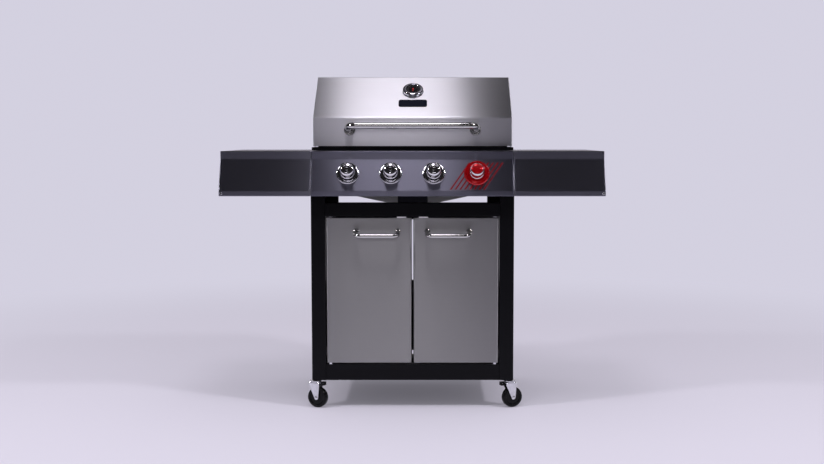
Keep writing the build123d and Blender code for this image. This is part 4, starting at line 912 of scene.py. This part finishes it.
# ---- Cart ----
LEG = 48 * MM
REAR_LEG_TOP = 0.658
TUBE_CORNER, TUBE_WALL = 3 * MM, 1.5 * MM
RAIL_DEPTH, DOOR_DEPTH = 40, 18  # in millimetres, for back()
BOTTOM_RAIL_TOP = low("front_rails").z + 54.4 * MM
TOP_RAIL_BOTTOM = high("front_rails").z - 45.4 * MM


def make_frame():
    """The square tubes with their drawn corners."""
    half, rear = high("legs").x, high("legs").y
    posts = []
    for x in (-half, half - LEG):
        for y, top in ((LEG_FRONT, high("legs").z), (rear - LEG, REAR_LEG_TOP)):
            post = bar("frame_posts", (x, y, low("legs").z), (x + LEG, y + LEG, top))
            with Editing(post) as edit:
                edit.round_edges(TUBE_CORNER, 4, edge_runs(2))
                edit.facing(0, 0, 1)
                edit.inset(TUBE_WALL)
                edit.push(z=-30 * MM)
            smooth(post)
            posts.append(post)
    posts = join(posts)
    inner = half - LEG
    rails = []
    for z0, z1 in ((low("front_rails").z, BOTTOM_RAIL_TOP), (TOP_RAIL_BOTTOM, high("front_rails").z)):
        rail = bar("front_tubes", (-inner, LEG_FRONT, z0), (inner, back(RAIL_DEPTH), z1))
        with Editing(rail) as edit:
            edit.round_edges(TUBE_CORNER, 4, edge_runs(0))
        smooth(rail)
        rails.append(rail)
    rails = join(rails)
    for piece, node in ((posts, "legs"), (rails, "front_rails")):
        dress(piece, POWDER)
        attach(piece, "cart")
        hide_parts(node)


DOOR_RIM, DOOR_FOLD, DOOR_SHEET = 14 * MM, 7.6 * MM, 1.1 * MM
CATCH_MIDDLE, CATCH_HALF, CATCH_HEIGHT = 36.8 * MM, 15.5 * MM, 4 * MM


def make_doors():
    start, end = low("door_right"), high("door_right")
    top = end.z - CATCH_HEIGHT
    leaf = bar("door_leaf_right", start, (end.x, back(DOOR_DEPTH), top))
    with Editing(leaf) as edit:
        edit.facing(0, 1, 0)
        edit.inset(DOOR_RIM)
        bpy.ops.mesh.delete(type="FACE")
        edit.round_edges(DOOR_FOLD, 7, lambda edge: edge_runs(2)(edge) and edge.verts[0].co.y < back(1))
        edit.round_edges(1.4 * MM, 3, is_sharp)
    thicken(leaf, DOOR_SHEET)
    smooth(leaf)
    plate = bar("door_catch_right", (CATCH_MIDDLE - CATCH_HALF, back(1), top),
                (CATCH_MIDDLE + CATCH_HALF, back(13), end.z))
    rounded(plate, 0.8 * MM)
    for side in ("right", "left"):
        door = leaf if side == "right" else copy_of(leaf, "door_leaf_left", ACROSS)
        catch = plate if side == "right" else copy_of(plate, "door_catch_left", ACROSS)
        dress(door, BRUSHED_DOOR)
        dress(catch, NYLON)
        for piece in (door, catch):
            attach(piece, "door_" + side)
        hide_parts("door_" + side)


# ---- Casters ----
FORK_TOP, FORK_SHEET = 87.7 * MM, 2.4 * MM
FORK_HALF = 19  # half the top plate's length, in millimetres
CHEEK_OUT = 14.7 * MM  # from the wheel's middle plane to a cheek's outside
# The cheeks' (depth under the top, half width, middle) on the way down, in millimetres.
CHEEK_STAGES = [(8.5, 19, 0), (10.5, 18.6, 0.2), (49, 8.6, 7.2), (52.7, 7.5, 8), (56.4, 6.6, 8),
                (59, 4.2, 8), (60.2, 1.6, 8)]
HUB = (8 * MM, 0, 35 * MM)  # the wheel's middle, from the floor under the stem


def make_fork():
    """The master fork at the origin: its stem is the z axis, and the wheel trails to +x."""
    bpy.ops.mesh.primitive_plane_add(size=1, location=(0, 0, FORK_TOP))
    fork = named("fork_master")
    settle(fork)
    with Editing(fork) as edit:
        edit.all()
        edit.scale(2 * FORK_HALF * MM, 2 * CHEEK_OUT, 1, (0, 0, FORK_TOP))
        edit.pick("edges", lambda edge: abs(edge.verts[0].co.y - edge.verts[1].co.y) < TOUCHING)
        depth, width, middle = 0, FORK_HALF, 0
        for next_depth, next_width, next_middle in CHEEK_STAGES:
            edit.push(z=(depth - next_depth) * MM)
            edit.scale(next_width / width, 1, 1, (middle * MM, 0, 0))
            bpy.ops.transform.translate(value=((next_middle - middle) * MM, 0, 0))
            depth, width, middle = next_depth, next_width, next_middle
        edit.all()
        bpy.ops.mesh.normals_make_consistent(inside=False)
        edit.round_edges(3.2 * MM, 4, is_sharp)
    if fork.data.polygons[0].normal.z < 0:
        fork.data.flip_normals()
    thicken(fork, FORK_SHEET)
    rounded(fork, 0.5 * MM, angle=60)
    return fork


WHEEL_SIDE = [(8.6, -12), (9.6, -11.7), (10, -11.2), (10.2, -8.4), (11, -7.9), (22.5, -7.9),
              (23.6, -8.3), (25, -10.4), (26.2, -11), (29.6, -11), (32.2, -10.3), (33.9, -8.8),
              (34.8, -6.4), (35, -3.5)]
WHEEL_RINGS = WHEEL_SIDE + [(radius, -height) for radius, height in reversed(WHEEL_SIDE)]
RIVET_RINGS = [(6.4, 14.7), (6.4, 15.2), (5, 15.3), (4.8, 16), (3.8, 16.6), (2, 16.9), (0.4, 17)]
RACE_RINGS = [(19, 88.2), (19.8, 88.5), (20, 89.2), (19.7, 90), (18.6, 90.6), (17, 90.7),
              (16.2, 91.2), (16, 92), (15.2, 92.7), (12.6, 93), (9.4, 93.1), (8.9, 93.6), (8.8, 96.8)]


PEDAL_HALF, PEDAL_UNDER, PEDAL_SHEET = 9 * MM, 77.2 * MM, 3 * MM
PEDAL_ROOT, PEDAL_FOLD = 11.6 * MM, 32 * MM  # the arm's two ends, out from the stem
PEDAL_RISE, TREAD_STEP = 5 * MM, 5 * MM


def make_pedal():
    """The master brake pedal: an arm from its pin, folded up and back into a tread over the wheel."""
    pedal = bar("pedal_master", (PEDAL_ROOT, -PEDAL_HALF, PEDAL_UNDER),
                (PEDAL_FOLD, PEDAL_HALF, PEDAL_UNDER + PEDAL_SHEET))
    tread = PEDAL_UNDER + PEDAL_SHEET + PEDAL_RISE
    with Editing(pedal) as edit:
        edit.facing(1, 0, 0)
        edit.push(x=PEDAL_SHEET)
        edit.pick("faces", lambda face: face.normal.z > ALIGNED and face.calc_center_median().x > PEDAL_FOLD)
        edit.push(z=PEDAL_RISE)
        edit.push(z=PEDAL_SHEET)
        edit.pick("faces", lambda face: face.normal.x < -ALIGNED and face.calc_center_median().z > tread)
        edit.push(x=-TREAD_STEP)
        edit.push(x=-TREAD_STEP)
        edit.outward()
        edit.pick("faces", lambda face: face.normal.z > ALIGNED and face.calc_center_median().z > tread)
        bpy.ops.mesh.inset(thickness=1.2 * MM, use_even_offset=True, use_individual=True)
        edit.push(z=-0.5 * MM)
    rounded(pedal, 0.35 * MM, angle=40)
    return pedal


def facing_point(stem, point):
    """A placing under this stem whose x runs towards the point."""
    angle = atan2(point[1] - stem.y, point[0] - stem.x)
    return Matrix.Translation((stem.x, stem.y, 0)) @ Matrix.Rotation(angle, 4, "Z")


def make_casters():
    fork = make_fork()
    wheel = turned("wheel_master", WHEEL_RINGS, looking((0, -1, 0), HUB), 56)
    axle = join([turned("rivet", RIVET_RINGS, looking((0, sign, 0), HUB), 24) for sign in (-1, 1)])
    race = turned("race_master", RACE_RINGS, Matrix(), 40)
    pedal = make_pedal()
    for name in CORNERS:
        side_y, side_x = name.split("_")
        stem = Vector(JOINTS["swivel_" + name]["pos_m"])
        turn = facing_point(stem, JOINTS["roll_" + name]["pos_m"])
        bracket = copy_of(fork, "fork_bracket_" + name, turn)
        pin = copy_of(axle, "axle_heads_" + name, turn)
        tyre = copy_of(wheel, "wheel_disc_" + name, turn)
        bearing = copy_of(race, "swivel_race_" + name, turn)
        pieces = [(bracket, ZINC, "zinc", "fork_" + name), (pin, ZINC, "zinc", "fork_" + name),
                  (tyre, RUBBER, "black_rubber", "wheel_" + name), (bearing, ZINC, "zinc", "cart")]
        for piece, finish, slot, body in pieces:
            dress(piece, finish)
            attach(piece, body)
        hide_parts("fork_" + name)
        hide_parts("wheel_" + name)
        if side_y == "front":
            swing = facing_point(stem, JOINTS["brake_" + side_x + "_press"]["pos_m"])
            lever = copy_of(pedal, "brake_pedal_" + side_x, swing)
            dress(lever, PLASTIC)
            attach(lever, "brake_" + side_x)
            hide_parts("brake_" + side_x)
    for spare in (fork, axle, wheel, race, pedal):
        bpy.data.objects.remove(spare)


STOP_HALF, TRAY_PLATE_HALF = 23.5 * MM, 50.4 * MM
FLANGE_INNER, FLANGE_OUTER = 252 * MM, 300 * MM


def make_door_stop():
    """The black stop in the gap under the doors, where they meet."""
    rail = BOTTOM_RAIL_TOP
    stop = bar("door_stop", (-STOP_HALF, back(1), rail), (STOP_HALF, back(15), rail + 5 * MM))
    with Editing(stop) as edit:
        edit.facing(0, 0, 1)
        edit.scale(0.93, 1, 1, (0, 0, rail))
    rounded(stop, 0.8 * MM, segments=3)
    dress(stop, PLASTIC)
    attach(stop, "cart")


def make_brackets():
    """The black flanges of the side supports, and the plate in front of the grease tray."""
    front = low("firebox_supports").y
    flange = bar("support_flange_right", (FLANGE_INNER, front, 662 * MM),
                 (FLANGE_OUTER, front + 2.8 * MM, 736 * MM))
    with Editing(flange) as edit:
        edit.facing(-1, 0, 0)
        edit.inset(0.4 * MM)
        edit.push(x=-0.3 * MM)
        edit.round_edges(5 * MM, 5,
                         lambda edge: edge_runs(1)(edge) and edge.verts[0].co.x < FLANGE_INNER + 1 * MM)
    rounded(flange, 0.5 * MM)
    tray = bar("tray_plate", (-TRAY_PLATE_HALF, front - 1.6 * MM, 659.5 * MM),
               (TRAY_PLATE_HALF, front - 0.05 * MM, 736.4 * MM))
    with Editing(tray) as edit:
        edit.round_edges(4 * MM, 5, lambda edge: edge_runs(1)(edge) and edge.verts[0].co.z > 700 * MM)
    rounded(tray, 0.5 * MM)
    for piece, finish in ((flange, POWDER), (copy_of(flange, "support_flange_left", ACROSS), POWDER),
                          (tray, BRACKET_PAINT)):
        dress(piece, finish)
        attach(piece, "cart")


make_lid()
make_handles()
make_gauge()
make_badge()
make_panel()
make_shelves()
make_knobs()
make_frame()
make_doors()
make_casters()
make_door_stop()
make_brackets()


# ---- Floor, backdrop, lights, camera ----
PALE = (0.655, 0.635, 0.745, 1)
FLOOR = (0.68, 0.675, 0.74, 1)
DARK_FLOOR = (0.03, 0.03, 0.033, 1)  # in front of the studio's sweep
FLOOR_SIZE = 16
DARK_TO_PALE = (-3.4, -1.0)  # where the floor turns pale, along Y
FLOOR_FADE = (1.2, 3.6)  # how far out it melts into the backdrop
AMBIENT = 0.62
LIGHT_TINT = (0.975, 0.925, 1.0)
# What polished steel mirrors: a dark room in front, its horizon, and the pale sweep behind.
ROOM_DARK, ROOM_HORIZON, SWEEP = 0.015, 0.03, 0.55
CAMERA_PLACE = (0.0621, LEG_FRONT - 3.820, 0.9167)
CAMERA_PITCH = 4.7406  # downwards, in degrees
CAMERA_LENS, CAMERA_SHIFT = 50.05, -0.02311893


def make_stage():
    """A floor that shows the object's shadow, lifted by a faint painted glow, and melts into the backdrop
    further out.
    """
    bpy.ops.mesh.primitive_plane_add(size=FLOOR_SIZE, location=(0, 0, 0))
    floor = named("studio_floor")
    finish = Finish("studio floor", Roughness=0.95, Specular_IOR_Level=0.0)
    x, y, z = finish.axes()
    finish.set(Base_Color=finish.mix(y.ramp(*DARK_TO_PALE), DARK_FLOOR, FLOOR))
    far = (x * x + y * y).root().ramp(*FLOOR_FADE)
    seen = finish.ray("Camera") + finish.ray("Transmission")
    glow = finish.node("ShaderNodeEmission", {}, {"Color": PALE})
    # Camera rays see at least 15 % of the pale glow even near the object: painted light that lifts the
    # shadow under the cart.
    blend = finish.node("ShaderNodeMixShader", {}, {"Fac": (0.15 + far * 0.85) * seen,
                                                    1: finish.shader.outputs[0], 2: glow.outputs[0]})
    finish.feed(finish.output.inputs["Surface"], blend.outputs[0])
    dress(floor, finish)


def add_light(name, place, aim, width, length, radiance):
    """A softbox that glows this strongly, whatever its size."""
    bpy.ops.object.light_add(type="AREA", location=place)
    lamp = named(name)
    lamp.data.shape = "RECTANGLE"
    lamp.data.size = width
    lamp.data.size_y = length
    lamp.data.energy = radiance * pi * width * length
    lamp.data.color = LIGHT_TINT
    direction = Vector(aim) - Vector(place)
    lamp.rotation_euler = direction.to_track_quat("-Z", "Y").to_euler()
    lamp.visible_camera = False


def make_lights():
    add_light("overhead_softbox", (-0.12, 0.2, 3.05), (-0.12, 0.2, 1.0), 0.68, 1.8, radiance=0.3)
    add_light("key_light", (-0.12, -1.15, 3.6), (-0.12, -0.25, 0.8), 0.70, 0.9, radiance=8.4)
    add_light("low_softbox", (-0.3, -5.5, 1.9), (-0.3, 0, 0.9), 1.2, 0.9, radiance=1.5)
    add_light("left_light", (-3.0, -1.75, 3.05), (0, 0, 0.1), 0.4, 0.4, radiance=100)
    add_light("right_light", (2.75, -1.9, 3.3), (0, 0, 0.1), 0.4, 0.4, radiance=110)


def make_world():
    """The studio round the object: pale to the camera, with a dark front for steel to mirror."""
    world = bpy.data.worlds.new("studio")
    world.use_nodes = True
    room = Nodes(world.node_tree)
    background = next(n for n in room.tree.nodes if n.type == "BACKGROUND")
    x, y, z = room.axes("Generated")
    behind = y.ramp(0.25, 0.8) * (1 - z.ramp(0.42, 0.68))
    level = 1 - z.ramp(0.0, 0.22)
    front = ROOM_DARK + level * ROOM_HORIZON
    ceiling = x.absolute().ramp(0.13, 0.28) * z.ramp(0.75, 0.88)
    panels = 0.12 + x.ramp(-0.1, 0.15) * 0.38  # the right ceiling panel is the brighter one
    mirrored = (front + (SWEEP - front) * behind).at_least(ceiling * panels)
    strength = AMBIENT + (mirrored - AMBIENT) * room.ray("Glossy")
    seen = (room.ray("Camera") + room.ray("Transmission")).at_most(1)
    room.feed(background.inputs["Color"], room.mix(seen, LIGHT_TINT + (1,), PALE))
    room.feed(background.inputs["Strength"], strength + (1 - strength) * seen)
    bpy.context.scene.world = world


def make_camera():
    bpy.ops.object.camera_add(location=CAMERA_PLACE, rotation=(radians(90 - CAMERA_PITCH), 0, 0))
    camera = named("camera")
    camera.data.lens = CAMERA_LENS
    camera.data.sensor_width = 36
    camera.data.shift_x = CAMERA_SHIFT
    camera.data.clip_end = 100
    bpy.context.scene.camera = camera


bpy.context.scene.view_settings.view_transform = "Standard"
make_stage()
make_lights()
make_world()
make_camera()
